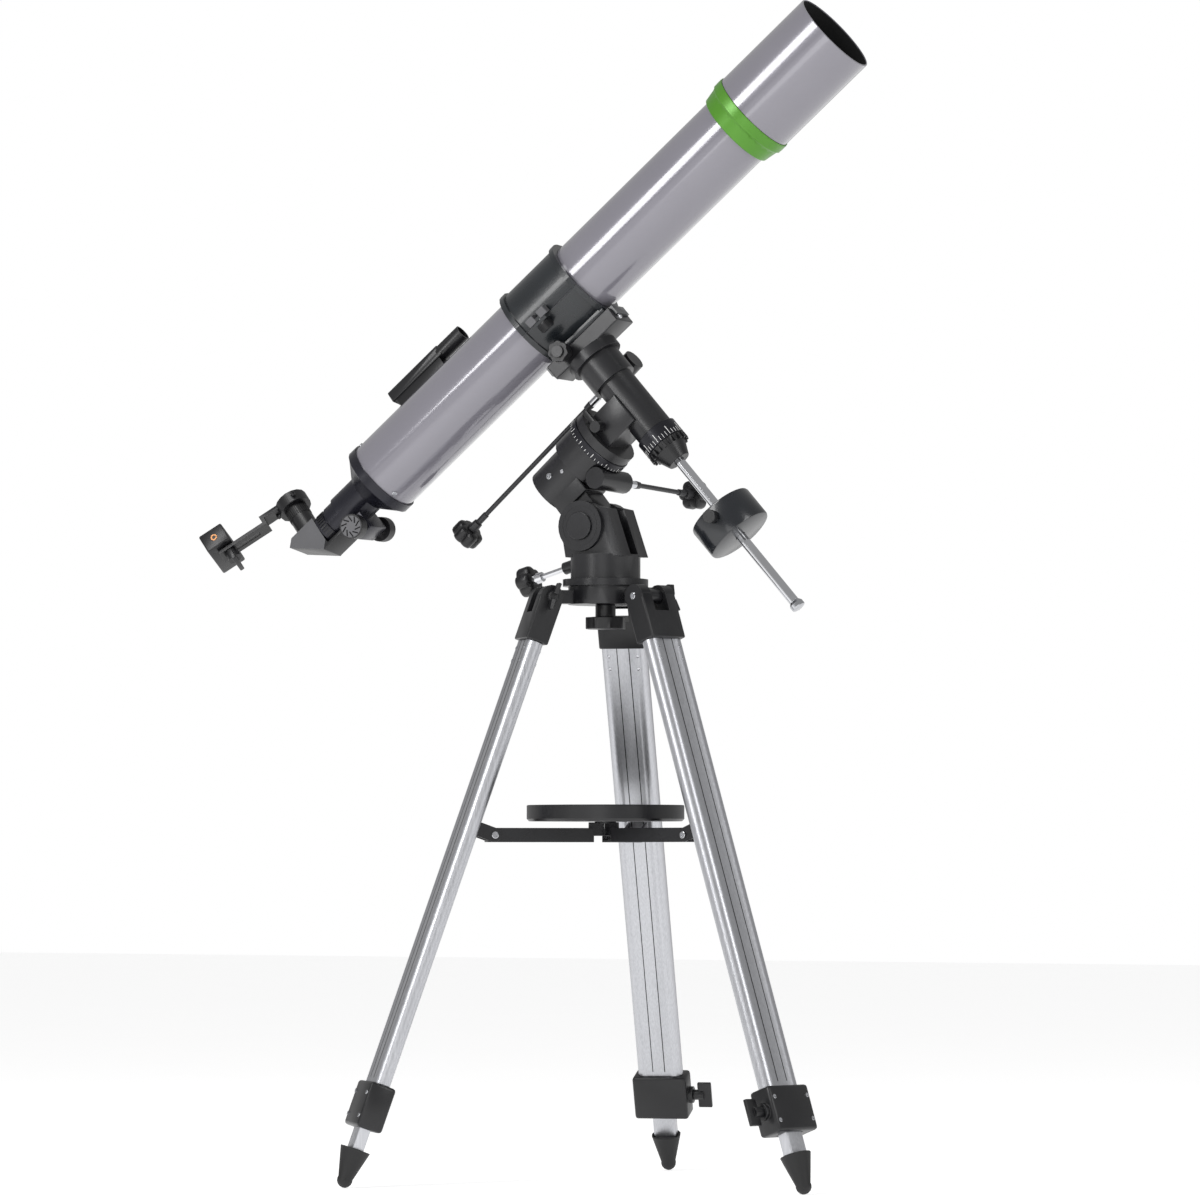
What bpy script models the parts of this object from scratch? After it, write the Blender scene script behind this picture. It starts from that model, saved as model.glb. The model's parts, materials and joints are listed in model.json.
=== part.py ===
"""A refractor telescope on an equatorial mount and a folding tripod, in metres, +Z up.

The world X axis is the mount's meridian, pointing to the pole's side, and the tripod stands on z = 0.
Each assembly is modelled in the frame of an empty that lies on the axis it turns or slides on.
"""

import math

import bmesh
import bpy
from mathutils import Matrix, Vector

GAP = 0.0003

# Tripod
LEG_AZIMUTHS = (-12.3, 107.7, 227.7)
LEG_PIVOT_RADIUS = 0.078
LEG_PIVOT_HEIGHT = 0.740
LEG_LEAN = 19.6
HUB_TOP = 0.764
HUB_RIM_RADIUS = 0.0545
HUB_RIM_HEIGHT = 0.009
HUB_BODY_RADIUS = 0.0475
HUB_BOTTOM = 0.732
LUG_HALF_WIDTH = 0.012
LUG_ROUND = 0.010
YOKE_HALF_WIDTH = 0.030
YOKE_ROUND = 0.015
YOKE_LENGTH = 0.060
YOKE_SLOT_DEPTH = 0.024
RAIL_RADIUS = 0.011
LEG_HALF_WIDTH = 0.030
WEB_HALF_DEPTH = 0.010
INNER_LEG_HALF_WIDTH = 0.015
INNER_LEG_HALF_DEPTH = 0.008
LEG_CLEARANCE = 0.0007
OUTER_LEG_END = 0.649
CLAMP_LENGTH = 0.0585
CLAMP_HALF_WIDTH = 0.036
CLAMP_HALF_DEPTH = 0.017
INNER_LEG_START = 0.250
INNER_LEG_END = 0.738
FOOT_START = 0.7346
FOOT_TOP_RADIUS = 0.0195
FOOT_TIP_RADIUS = 0.010
ARM_PIVOT_RADIUS = 0.148
ARM_HEIGHT = 0.440
ARM_INNER_RADIUS = 0.0175
ARM_HALF_WIDTH = 0.009
ARM_WALL = 0.0015
TRAY_RADIUS = 0.100
TRAY_FLOOR = 0.4575
TRAY_RIM = 0.478
TRAY_WALL = 0.0025
WHEEL_RADIUS = 0.026
WHEEL_BOTTOM = 0.701
WHEEL_HEIGHT = 0.015
BOLT_RADIUS = 0.005
BOLT_CLEARANCE = 0.001

# Azimuth yoke, with the latitude pivot across it
YOKE_BASE_RADIUS = 0.0445
YOKE_BASE_TOP = 0.795
LATITUDE_X = -0.015
LATITUDE_Z = 0.831
CHEEK_INNER = 0.0215
CHEEK_OUTER = 0.032
BOSS_RADIUS = 0.032
BOSS_OUTER = 0.038
PIVOT_RADIUS = 0.006
PIVOT_CAP_RADIUS = 0.018
FRONT_SLOT = 0.018
FRONT_WALL = 0.008
SCREW_RADIUS = 0.003
SCREW_TIP = (-0.030, 0.0, 0.788)
SCREW_KNOB = (-0.116, 0.0, 0.764)
STAR_KNOB_RADIUS = 0.020
STAR_KNOB_LENGTH = 0.020

# Polar axis, in its own frame: X up the axis, Y east, Z toward the tube
LATITUDE = 40.3
POLAR_ORIGIN = (0.044, 0.0, 0.982)
REAR_TUBE_RADIUS = 0.033
REAR_TUBE_END = -0.163
RA_STEP = -0.108
RA_BODY_RADIUS = 0.0395
RA_BODY_END = -0.0758
RA_SHAFT_RADIUS = 0.012
RA_WHEEL_RADIUS = 0.0345
RA_CAVITY_RADIUS = 0.0365
RA_WORM_X = -0.090
RA_WORM_DEPTH = -0.044
RA_WORM_TILT = -3.2
WORM_RADIUS = 0.008
WORM_HOUSING_RADIUS = 0.014
RA_KNOB_DISTANCE = 0.200
LOBED_KNOB_RADIUS = 0.020
RA_CIRCLE_RADIUS = 0.044
RA_CIRCLE_LENGTH = 0.011

# Declination head, in the polar frame turned by the hour angle
HOUR_ANGLE = 6.0
DECLINATION_TURN = 6.0
HEAD_FLANGE_RADIUS = 0.043
HEAD_FLANGE_START = -0.064
HEAD_FLANGE_LENGTH = 0.012
NECK_HALF_WIDTH = 0.030
NECK_HALF_HEIGHT = 0.022
BARREL_RADIUS = 0.025
BARREL_BOTTOM = -0.044
BARREL_TOP = 0.042
COLLAR_RADIUS = 0.030
COLLAR_TOP = 0.078
DEC_SHAFT_RADIUS = 0.010
DEC_WHEEL_RADIUS = 0.027
DEC_WORM_Y = 0.038
DEC_WORM_Z = 0.058
DEC_KNOB_DISTANCE = 0.307
DEC_CIRCLE_RADIUS = 0.028
DEC_CIRCLE_LENGTH = 0.0215
NOSE_LENGTH = 0.027
BAR_RADIUS = 0.0065
BAR_END = -0.331
WEIGHT_RADIUS = 0.044
WEIGHT_TOP = -0.177
WEIGHT_LENGTH = 0.043

# Saddle and cradle, in the frame that turns with the declination
SADDLE_DISC_RADIUS = 0.036
SADDLE_DECK = 0.092
SADDLE_TOP = 0.112
SADDLE_BACK = -0.050
SADDLE_FRONT = 0.062
SADDLE_HALF_WIDTH = 0.026
DOVETAIL_HALF_WIDTH = 0.0185
DOVETAIL_BOTTOM = 0.100
TUBE_HEIGHT = 0.170
CRADLE_BACK = -0.041
CRADLE_FRONT = 0.057
CRADLE_OUTER_RADIUS = 0.055
CRADLE_BEAD_RADIUS = 0.058
CRADLE_BEAD = 0.007
CRADLE_SPLIT_TURN = 17.0
HINGE_RADIUS = 0.0625

# Optical tube, X along its axis
TUBE_RADIUS = 0.0495
TUBE_WALL = 0.0015
TUBE_BACK = -0.324
TUBE_FRONT = 0.335
CELL_FRONT = 0.364
CELL_LIP_RADIUS = 0.0585
SHIELD_RADIUS = 0.057
SHIELD_WALL = 0.0018
SHIELD_FRONT = 0.508
LENS_RADIUS = 0.045
FOCUSER_LIP_RADIUS = 0.052
FOCUSER_CONE_END = -0.352
FOCUSER_RADIUS = 0.0265
FOCUSER_NECK_RADIUS = 0.024
FOCUSER_STEP = -0.392
FOCUSER_END = -0.408
DRAWTUBE_RADIUS = 0.021
DRAWTUBE_BORE = 0.0163
DRAWTUBE_FRONT = -0.250
DRAWTUBE_COLLAR_RADIUS = 0.023
PINION_X = -0.380
PINION_DROP = 0.035
PINION_RADIUS = 0.0085
FOCUS_KNOB_RADIUS = 0.016
FOCUS_KNOB_Y = 0.034
FOCUS_KNOB_WIDTH = 0.016

# Diagonal, eyepiece and phone adapter, in the diagonal's frame
DIAGONAL_TURN = -15.0
DIAGONAL_FACE = -0.427
DIAGONAL_LEG = 0.039
DIAGONAL_MARGIN = 0.0092
DIAGONAL_HALF_WIDTH = 0.019
EYEPIECE_RADIUS = 0.015
EYEPIECE_TOP = 0.070
ADAPTER_TURN = 20.0
ADAPTER_RING_RADIUS = 0.022
ADAPTER_RING_BOTTOM = 0.060
ADAPTER_RING_TOP = 0.076
ARM_PLATE_HALF_WIDTH = 0.011
ARM_PLATE_STEP = -0.046
ARM_PLATE_END = -0.115

# Finder, on the upper east side of the tube
FINDER_RADIUS = 0.011
FINDER_DISTANCE = 0.075
FINDER_TURN = -16.0
FINDER_BACK = -0.250
FINDER_FRONT = -0.121
FINDER_STEP = -0.163

# Facets round small, middling and large turned shapes
SMALL = 10
ROUND = 16
FINE = 28


def new_collection(name):
    collection = bpy.data.collections.new(name)
    bpy.context.scene.collection.children.link(collection)
    return collection


def finish(name, colour, roughness, metallic=0.0):
    """A Principled material from an sRGB hex colour."""
    material = bpy.data.materials.new(name)
    material.use_nodes = True
    channels = [int(colour[i:i + 2], 16) / 255 for i in (0, 2, 4)]
    linear = [((c + 0.055) / 1.055) ** 2.4 if c > 0.04 else c / 12.92 for c in channels]
    shader = material.node_tree.nodes["Principled BSDF"]
    shader.inputs["Base Color"].default_value = (*linear, 1.0)
    shader.inputs["Roughness"].default_value = roughness
    shader.inputs["Metallic"].default_value = metallic
    return material


def frame(name, holder, at=(0, 0, 0), turn=None):
    """An empty that carries an assembly, at a place and turn in its holder's frame."""
    empty = bpy.data.objects.new(name, None)
    empty.empty_display_size = 0.02
    PARTS.objects.link(empty)
    empty.parent = holder
    empty.matrix_basis = Matrix.Translation(at) @ (turn or Matrix())
    return empty


def turned_about(axis, degrees):
    return Matrix.Rotation(math.radians(degrees), 4, axis)


def pointing(direction):
    """The turn that takes +Z to this direction."""
    return Vector(direction).to_track_quat("Z", "Y").to_matrix().to_4x4()


def shape(mesh_name, bm, round_edge=0.0):
    """A working solid, hidden until a piece takes it as its body."""
    mesh = bpy.data.meshes.new(mesh_name)
    bm.to_mesh(mesh)
    bm.free()
    mesh.shade_smooth()
    mesh.set_sharp_from_angle(angle=math.radians(35))
    thing = bpy.data.objects.new(mesh_name, mesh)
    SHAPES.objects.link(thing)
    thing.hide_render = True
    thing.display_type = "WIRE"
    if round_edge:
        bevel = thing.modifiers.new("rounded_edges", "BEVEL")
        bevel.width = round_edge
        bevel.segments = 2
    return thing


def block(low, high, round_edge=0.0):
    """A box between two corners."""
    size = Vector(high) - Vector(low)
    middle = (Vector(high) + Vector(low)) / 2
    bm = bmesh.new()
    place = Matrix.Translation(middle) @ Matrix.Diagonal((*size, 1.0))
    bmesh.ops.create_cube(bm, size=1.0, matrix=place)
    return shape("block", bm, round_edge)


def rod(start, end, radius, end_radius=None, sides=ROUND):
    """A cylinder between two points, or a cone if its end radius is given."""
    span = Vector(end) - Vector(start)
    place = Matrix.Translation((Vector(start) + Vector(end)) / 2) @ pointing(span)
    last = radius if end_radius is None else end_radius
    bm = bmesh.new()
    bmesh.ops.create_cone(
        bm, cap_ends=True, segments=sides, radius1=radius, radius2=last, depth=span.length, matrix=place
    )
    return shape("rod", bm)


def ball(at, radius):
    bm = bmesh.new()
    place = Matrix.Translation(at)
    bmesh.ops.create_uvsphere(bm, u_segments=ROUND, v_segments=ROUND // 2, radius=radius, matrix=place)
    return shape("ball", bm)


def turned(profile, along="X", sides=ROUND, closed=False):
    """A lathe shape about the frame's own axis. The profile holds (radius, distance), far end first."""
    mesh = bpy.data.meshes.new("turned")
    points = [(radius, 0.0, distance) for radius, distance in profile]
    edges = [(i, i + 1) for i in range(len(points) - 1)]
    if closed:
        edges.append((len(points) - 1, 0))
    mesh.from_pydata(points, edges, [])
    thing = bpy.data.objects.new("turned", mesh)
    SHAPES.objects.link(thing)
    thing.hide_render = True
    thing.display_type = "WIRE"
    if along == "X":
        thing.rotation_euler = (0.0, math.pi / 2, 0.0)
    if along == "Y":
        thing.rotation_euler = (-math.pi / 2, 0.0, 0.0)
    screw = thing.modifiers.new("turn", "SCREW")
    screw.axis = "Z"
    screw.steps = sides
    screw.render_steps = sides
    screw.use_smooth_shade = True
    screw.use_merge_vertices = True
    screw.merge_threshold = 0.00001
    return thing


def ring(outer, inner, low, high, along="X", sides=FINE):
    """A plain tube between two distances along an axis of the frame."""
    corners = ((inner, high), (outer, high), (outer, low), (inner, low))
    return turned(corners, along, sides, closed=True)


def extruded(outline, low, high, turn=None, round_edge=0.0):
    """A flat outline given thickness from low to high along Z, then turned."""
    curve = bpy.data.curves.new("outline", "CURVE")
    curve.dimensions = "2D"
    curve.fill_mode = "BOTH"
    curve.extrude = (high - low) / 2
    spline = curve.splines.new("POLY")
    spline.points.add(len(outline) - 1)
    spline.use_cyclic_u = True
    for point, (x, y) in zip(spline.points, outline):
        point.co = (x, y, 0.0, 1.0)
    drawn = bpy.data.objects.new("outline", curve)
    SHAPES.objects.link(drawn)
    bpy.context.view_layer.update()
    solid = drawn.evaluated_get(bpy.context.evaluated_depsgraph_get())
    mesh = bpy.data.meshes.new_from_object(solid)
    bpy.data.objects.remove(drawn)
    bm = bmesh.new()
    bm.from_mesh(mesh)
    bmesh.ops.remove_doubles(bm, verts=bm.verts, dist=0.00001)
    bmesh.ops.recalc_face_normals(bm, faces=bm.faces)
    place = (turn or Matrix()) @ Matrix.Translation((0, 0, (low + high) / 2))
    bmesh.ops.transform(bm, matrix=place, verts=bm.verts)
    bpy.data.meshes.remove(mesh)
    return shape("extruded", bm, round_edge)


def arc(centre, radius, start, end, steps):
    """Points round part of a circle, angles in degrees."""
    angles = [math.radians(start + (end - start) * i / steps) for i in range(steps + 1)]
    return [(centre[0] + radius * math.cos(t), centre[1] + radius * math.sin(t)) for t in angles]


def lobed_knob(radius, low, high, lobes=6, depth=0.10):
    """A hand knob about Z whose rim waves in and out."""
    count = lobes * 4
    outline = []
    for i in range(count):
        angle = 2 * math.pi * i / count
        reach = radius * (1 - depth + depth * math.cos(lobes * angle))
        outline.append((reach * math.cos(angle), reach * math.sin(angle)))
    return extruded(outline, low, high)


def half_ring(outer, inner, low, high, side):
    """Half a tube about X, above the frame's XY plane for side 1 and below it for side -1."""
    centre = (0, side * GAP)
    outline = arc(centre, outer, 0, side * 180, FINE // 2)
    outline += arc(centre, inner, side * 180, 0, FINE // 2)
    across = Matrix(((0, 0, 1, 0), (1, 0, 0, 0), (0, 1, 0, 0), (0, 0, 0, 1)))
    return extruded(outline, low, high, across)


def piece(name, holder, material, body, join=(), cut=(), offset=None, solver="EXACT"):
    """One named solid: its body, with what is joined to it and then what is cut from it.

    The shapes are given in the holder's frame, or in one that lies at offset from it.
    """
    SHAPES.objects.unlink(body)
    PARTS.objects.link(body)
    body.name = name
    body.data.name = name
    body.hide_render = False
    body.display_type = "TEXTURED"
    body.data.materials.append(material)
    for solid in (body, *join, *cut):
        if solid.parent is None:
            solid.parent = holder
            solid.matrix_basis = (offset or Matrix()) @ solid.matrix_basis
    for operation, others in (("UNION", join), ("DIFFERENCE", cut)):
        for other in others:
            other.name = f"{name}_{operation.lower()}"
            boolean = body.modifiers.new(operation.lower(), "BOOLEAN")
            boolean.operation = operation
            boolean.solver = solver
            boolean.object = other
    return body


for thing in list(bpy.data.objects):
    bpy.data.objects.remove(thing)
PARTS = new_collection("telescope_on_tripod")
SHAPES = new_collection("cutters")
SHAPES.hide_render = True

HAMMERED_BLACK = finish("hammered_black", "2B2B2E", 0.45)
CAST_BLACK = finish("cast_black", "29292C", 0.4)
BLACK_PLASTIC = finish("black_plastic", "232326", 0.5)
BLACK_ANODISED = finish("black_anodised", "242427", 0.4, 0.3)
RUBBER = finish("rubber", "1E1E20", 0.8)
SATIN_SILVER = finish("satin_silver", "9C9DA1", 0.4, 0.9)
MACHINED_STEEL = finish("machined_steel", "B4B6BA", 0.3, 1.0)
GREY_PAINT = finish("grey_paint", "8A8890", 0.25, 0.3)
GREEN_ANODISED = finish("green_anodised", "6FA23F", 0.35, 0.6)
GLASS = finish("coated_glass", "2E3A4A", 0.05)


def tripod_hub(root):
    """The head casting, with a lug for each leg between the cheeks of its yoke."""
    lugs = []
    holes = [rod((0, 0, HUB_BOTTOM - 0.01), (0, 0, HUB_TOP + 0.01), BOLT_RADIUS + BOLT_CLEARANCE)]
    for azimuth in LEG_AZIMUTHS:
        turn = turned_about("Z", azimuth)
        start = Vector((LEG_PIVOT_RADIUS, -LUG_HALF_WIDTH, LEG_PIVOT_HEIGHT))
        end = Vector((LEG_PIVOT_RADIUS, LUG_HALF_WIDTH, LEG_PIVOT_HEIGHT))
        low = (HUB_BODY_RADIUS - 0.010, -LUG_HALF_WIDTH, HUB_BOTTOM + 0.0005)
        high = (LEG_PIVOT_RADIUS, LUG_HALF_WIDTH, LEG_PIVOT_HEIGHT + LUG_ROUND - 0.0005)
        web = block(low, high)
        web.matrix_basis = turn
        lugs += [web, rod(turn @ start, turn @ end, LUG_ROUND)]
    profile = (
        (0.0, HUB_TOP),
        (HUB_RIM_RADIUS, HUB_TOP),
        (HUB_RIM_RADIUS, HUB_TOP - HUB_RIM_HEIGHT),
        (HUB_BODY_RADIUS, HUB_TOP - HUB_RIM_HEIGHT),
        (HUB_BODY_RADIUS, HUB_BOTTOM),
        (0.0, HUB_BOTTOM),
    )
    piece("tripod_hub", root, HAMMERED_BLACK, turned(profile, "Z", FINE), lugs, holes)


def mount_bolt(root):
    """The hand wheel under the hub, whose bolt holds the mount down."""
    wheel = frame("mount_bolt_axis", root, (0, 0, WHEEL_BOTTOM))
    stack = rod((0, 0, WHEEL_HEIGHT - 0.001), (0, 0, HUB_BOTTOM - GAP - WHEEL_BOTTOM), 0.013)
    shank = rod((0, 0, 0.002), (0, 0, HUB_TOP + 0.022 - WHEEL_BOTTOM), BOLT_RADIUS)
    rim = lobed_knob(WHEEL_RADIUS, 0.0, WHEEL_HEIGHT, lobes=8, depth=0.05)
    piece("mount_bolt", wheel, BLACK_PLASTIC, rim, [stack, shank])


def leg_yoke(number, leg):
    """The clevis at the top of a leg, which turns on the hub's lug."""
    body = block((-YOKE_ROUND, -YOKE_HALF_WIDTH, -YOKE_LENGTH), (YOKE_ROUND, YOKE_HALF_WIDTH, 0.0), 0.002)
    top = rod((0, -YOKE_HALF_WIDTH, 0), (0, YOKE_HALF_WIDTH, 0), YOKE_ROUND)
    slot_half = LUG_HALF_WIDTH + 2 * GAP
    slot = block((-0.03, -slot_half, -YOKE_SLOT_DEPTH), (0.03, slot_half, 0.03))
    piece(f"leg_yoke_{number}", leg, BLACK_PLASTIC, body, [top], [slot])


def arm_pivot_in_leg():
    """Where the spreader arm's pivot lies in the leg's own frame."""
    out = ARM_PIVOT_RADIUS - LEG_PIVOT_RADIUS
    down = ARM_HEIGHT - LEG_PIVOT_HEIGHT
    lean = math.radians(LEG_LEAN)
    across = out * math.cos(lean) + down * math.sin(lean)
    along = -out * math.sin(lean) + down * math.cos(lean)
    return across, along


def outer_leg(number, leg):
    """The upper section: two round rails, a web, a hollow for the inner leg and ears for the spreader arm."""
    top = -YOKE_LENGTH - GAP
    bottom = -OUTER_LEG_END
    rail_y = LEG_HALF_WIDTH - RAIL_RADIUS
    body = block((-WEB_HALF_DEPTH, -rail_y, bottom), (WEB_HALF_DEPTH, rail_y, top))
    across, along = arm_pivot_in_leg()
    join = [rod((0, s * rail_y, bottom), (0, s * rail_y, top), RAIL_RADIUS, sides=14) for s in (-1, 1)]
    ear_low = ARM_HALF_WIDTH + 0.0007
    ear_high = ear_low + 0.003
    for side in (-1, 1):
        near, far = sorted((side * ear_low, side * ear_high))
        join.append(block((across, near, along - 0.009), (0.001 - WEB_HALF_DEPTH, far, along + 0.009)))
        join.append(rod((across, near, along), (across, far, along), 0.009, sides=SMALL))
    half_width = INNER_LEG_HALF_WIDTH + LEG_CLEARANCE
    half_depth = INNER_LEG_HALF_DEPTH + LEG_CLEARANCE
    hollow = block((-half_depth, -half_width, bottom - 0.01), (half_depth, half_width, top + 0.01))
    piece(f"outer_leg_{number}", leg, SATIN_SILVER, body, join, [hollow])


def leg_clamp(number, leg):
    """The black block that the inner leg slides through, with a boss for its locking screw."""
    top = -OUTER_LEG_END - GAP
    bottom = top - CLAMP_LENGTH
    body = block(
        (-CLAMP_HALF_DEPTH, -CLAMP_HALF_WIDTH, bottom), (CLAMP_HALF_DEPTH, CLAMP_HALF_WIDTH, top), 0.004
    )
    middle = (top + bottom) / 2
    boss = rod((0, 0.005 - CLAMP_HALF_WIDTH, middle), (0, -CLAMP_HALF_WIDTH - 0.006, middle), 0.011)
    half_width = INNER_LEG_HALF_WIDTH + LEG_CLEARANCE
    half_depth = INNER_LEG_HALF_DEPTH + LEG_CLEARANCE
    hollow = block((-half_depth, -half_width, bottom - 0.01), (half_depth, half_width, top + 0.01))
    bore = rod((0, 0, middle), (0, -0.06, middle), SCREW_RADIUS + 2 * GAP, sides=SMALL)
    piece(f"leg_clamp_{number}", leg, BLACK_PLASTIC, body, [boss], [hollow, bore])
    seat = frame(f"leg_lock_axis_{number}", leg, (0, -CLAMP_HALF_WIDTH - 0.006, middle), pointing((0, -1, 0)))
    leg_lock_screw(number, seat)


def leg_lock_screw(number, seat):
    """A wing screw whose tip stops just short of the inner leg."""
    tip = INNER_LEG_HALF_WIDTH + GAP - CLAMP_HALF_WIDTH - 0.006
    hub = rod((0, 0, GAP), (0, 0, 0.014), 0.007, sides=SMALL)
    wings = block((-0.0025, -0.017, 0.006), (0.0025, 0.017, 0.024), 0.001)
    stem = rod((0, 0, tip), (0, 0, 0.010), SCREW_RADIUS, sides=SMALL)
    piece(f"leg_lock_screw_{number}", seat, BLACK_PLASTIC, hub, [wings, stem])


def inner_leg(number, leg):
    """The lower section, which slides out of the upper one, and its rubber foot."""
    half_width = INNER_LEG_HALF_WIDTH
    half_depth = INNER_LEG_HALF_DEPTH
    low = (-half_depth, -half_width, -INNER_LEG_END)
    body = block(low, (half_depth, half_width, -INNER_LEG_START), 0.003)
    piece(f"inner_leg_{number}", leg, SATIN_SILVER, body)
    tip = (LEG_PIVOT_HEIGHT - FOOT_TIP_RADIUS) / math.cos(math.radians(LEG_LEAN))
    boot = rod((0, 0, -FOOT_START), (0, 0, 0.002 - tip), FOOT_TOP_RADIUS, FOOT_TIP_RADIUS - 0.0006)
    socket_low = (-half_depth - GAP, -half_width - GAP, -INNER_LEG_END - GAP)
    socket = block(socket_low, (half_depth + GAP, half_width + GAP, 0.01 - FOOT_START))
    piece(f"foot_{number}", leg, RUBBER, boot, [ball((0, 0, -tip), FOOT_TIP_RADIUS)], [socket])


def spreader_arm(number, leg):
    """A channel with its open side up, from the leg's ears in to the spreader plate."""
    across, along = arm_pivot_in_leg()
    pivot = frame(f"spreader_arm_axis_{number}", leg, (across, 0, along), turned_about("Y", LEG_LEAN))
    inner = ARM_INNER_RADIUS - ARM_PIVOT_RADIUS
    half = ARM_HALF_WIDTH
    body = block((inner, -half, -half), (0.008, half, half))
    room = half - ARM_WALL
    channel = block((inner - 0.01, -room, 2 * ARM_WALL - half), (0.02, room, half + 0.01))
    piece(f"spreader_arm_{number}", pivot, HAMMERED_BLACK, body, [], [channel])


def spreader_plate(root):
    """The small plate under the tray, with a tab down into each arm's channel."""
    floor = TRAY_FLOOR - GAP
    tabs = []
    for azimuth in LEG_AZIMUTHS:
        tab = block((0.002, -0.002, ARM_HEIGHT - 0.001), (0.022, 0.002, floor - 0.001))
        tab.matrix_basis = turned_about("Z", azimuth)
        tabs.append(tab)
    piece("spreader_plate", root, HAMMERED_BLACK, rod((0, 0, floor - 0.0025), (0, 0, floor), 0.014), tabs)


def accessory_tray(root):
    """A shallow round dish above the arms."""
    profile = (
        (0.0, TRAY_FLOOR + TRAY_WALL),
        (TRAY_RADIUS - TRAY_WALL - 0.003, TRAY_FLOOR + TRAY_WALL),
        (TRAY_RADIUS - TRAY_WALL, TRAY_FLOOR + TRAY_WALL + 0.003),
        (TRAY_RADIUS - TRAY_WALL, TRAY_RIM),
        (TRAY_RADIUS, TRAY_RIM),
        (TRAY_RADIUS, TRAY_FLOOR + 0.003),
        (TRAY_RADIUS - 0.003, TRAY_FLOOR),
        (0.0, TRAY_FLOOR),
    )
    piece("accessory_tray", root, BLACK_PLASTIC, turned(profile, "Z", FINE))


def tripod(root):
    tripod_hub(root)
    mount_bolt(root)
    for number, azimuth in enumerate(LEG_AZIMUTHS, start=1):
        turn = turned_about("Z", azimuth)
        place = turn @ Vector((LEG_PIVOT_RADIUS, 0, LEG_PIVOT_HEIGHT))
        leg = frame(f"leg_axis_{number}", root, place, turn @ turned_about("Y", -LEG_LEAN))
        leg_yoke(number, leg)
        outer_leg(number, leg)
        leg_clamp(number, leg)
        inner_leg(number, leg)
        spreader_arm(number, leg)
    spreader_plate(root)
    accessory_tray(root)


def azimuth_yoke(root):
    """The casting that turns on the hub: a round base, two cheeks and a slotted front wall."""
    azimuth = frame("azimuth_axis", root)
    base = rod((0, 0, HUB_TOP + GAP), (0, 0, YOKE_BASE_TOP), YOKE_BASE_RADIUS, sides=FINE)
    toe = (YOKE_BASE_RADIUS - 0.0005, YOKE_BASE_TOP - 0.003)
    crown = (0.022, LATITUDE_Z + 0.022)
    boss = arc((LATITUDE_X, LATITUDE_Z), BOSS_RADIUS, 55, 170, 9)
    side = [toe, crown] + boss + [(-0.046, 0.826), (-0.040, YOKE_BASE_TOP - 0.003)]
    slope = (Vector(crown) - Vector(toe)).normalized()
    inward = Vector((-slope.y, slope.x)) * FRONT_WALL
    front = [toe, crown, (crown[0] + inward.x, crown[1] + inward.y), (toe[0] + 2 * inward.x, toe[1])]
    upright = turned_about("X", 90)
    join = []
    holes = []
    for side_of in (-1, 1):
        near, far = sorted((side_of * CHEEK_INNER, side_of * CHEEK_OUTER))
        join.append(extruded(side, near, far, upright))
        inner, outer = side_of * (CHEEK_INNER + 0.001), side_of * BOSS_OUTER
        boss_ends = [(LATITUDE_X, y, LATITUDE_Z) for y in (inner, outer)]
        join.append(rod(boss_ends[0], boss_ends[1], BOSS_RADIUS, sides=FINE))
        near, far = sorted((side_of * FRONT_SLOT / 2, side_of * (CHEEK_INNER + 0.001)))
        join.append(extruded(front, near, far, upright))
    direction = (Vector(SCREW_KNOB) - Vector(SCREW_TIP)).normalized()
    bolt_end = Vector(SCREW_TIP) - direction * 0.002
    rear = Vector(SCREW_TIP) + direction * 0.032
    join.append(rod(Vector(SCREW_TIP) + direction * 0.006, rear, 0.008))
    holes.append(rod(bolt_end, rear + direction * 0.05, SCREW_RADIUS + 2 * GAP, sides=SMALL))
    ends = [(LATITUDE_X, side_of * 0.05, LATITUDE_Z) for side_of in (-1, 1)]
    holes.append(rod(ends[0], ends[1], PIVOT_RADIUS + GAP))
    bore_top = HUB_TOP + 0.024
    holes.append(rod((0, 0, HUB_TOP - 0.01), (0, 0, bore_top), BOLT_RADIUS + BOLT_CLEARANCE))
    piece("azimuth_yoke", azimuth, CAST_BLACK, base, join, holes, solver="MANIFOLD")
    latitude_pivot(azimuth)
    latitude_screw(azimuth, direction)
    return azimuth


def latitude_pivot(azimuth):
    """The bolt that the polar housing tilts on, with a round cap on each side."""
    caps = []
    for side in (-1, 1):
        seat, end = side * (BOSS_OUTER + GAP), side * (BOSS_OUTER + 0.0035)
        caps.append(rod((LATITUDE_X, seat, LATITUDE_Z), (LATITUDE_X, end, LATITUDE_Z), PIVOT_CAP_RADIUS))
    ends = [(LATITUDE_X, side * (BOSS_OUTER + 0.002), LATITUDE_Z) for side in (-1, 1)]
    piece("latitude_pivot", azimuth, CAST_BLACK, rod(ends[0], ends[1], PIVOT_RADIUS), caps)


def latitude_screw(azimuth, direction):
    """The long screw behind the yoke that pushes the polar housing up."""
    seat = frame("latitude_screw_axis", azimuth, SCREW_TIP, pointing(direction))
    length = (Vector(SCREW_KNOB) - Vector(SCREW_TIP)).length
    knob = lobed_knob(STAR_KNOB_RADIUS, length - STAR_KNOB_LENGTH / 2, length + STAR_KNOB_LENGTH / 2, 5, 0.14)
    stem = rod((0, 0, 0), (0, 0, length), SCREW_RADIUS, sides=SMALL)
    piece("latitude_screw", seat, BLACK_PLASTIC, knob, [stem])


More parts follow.
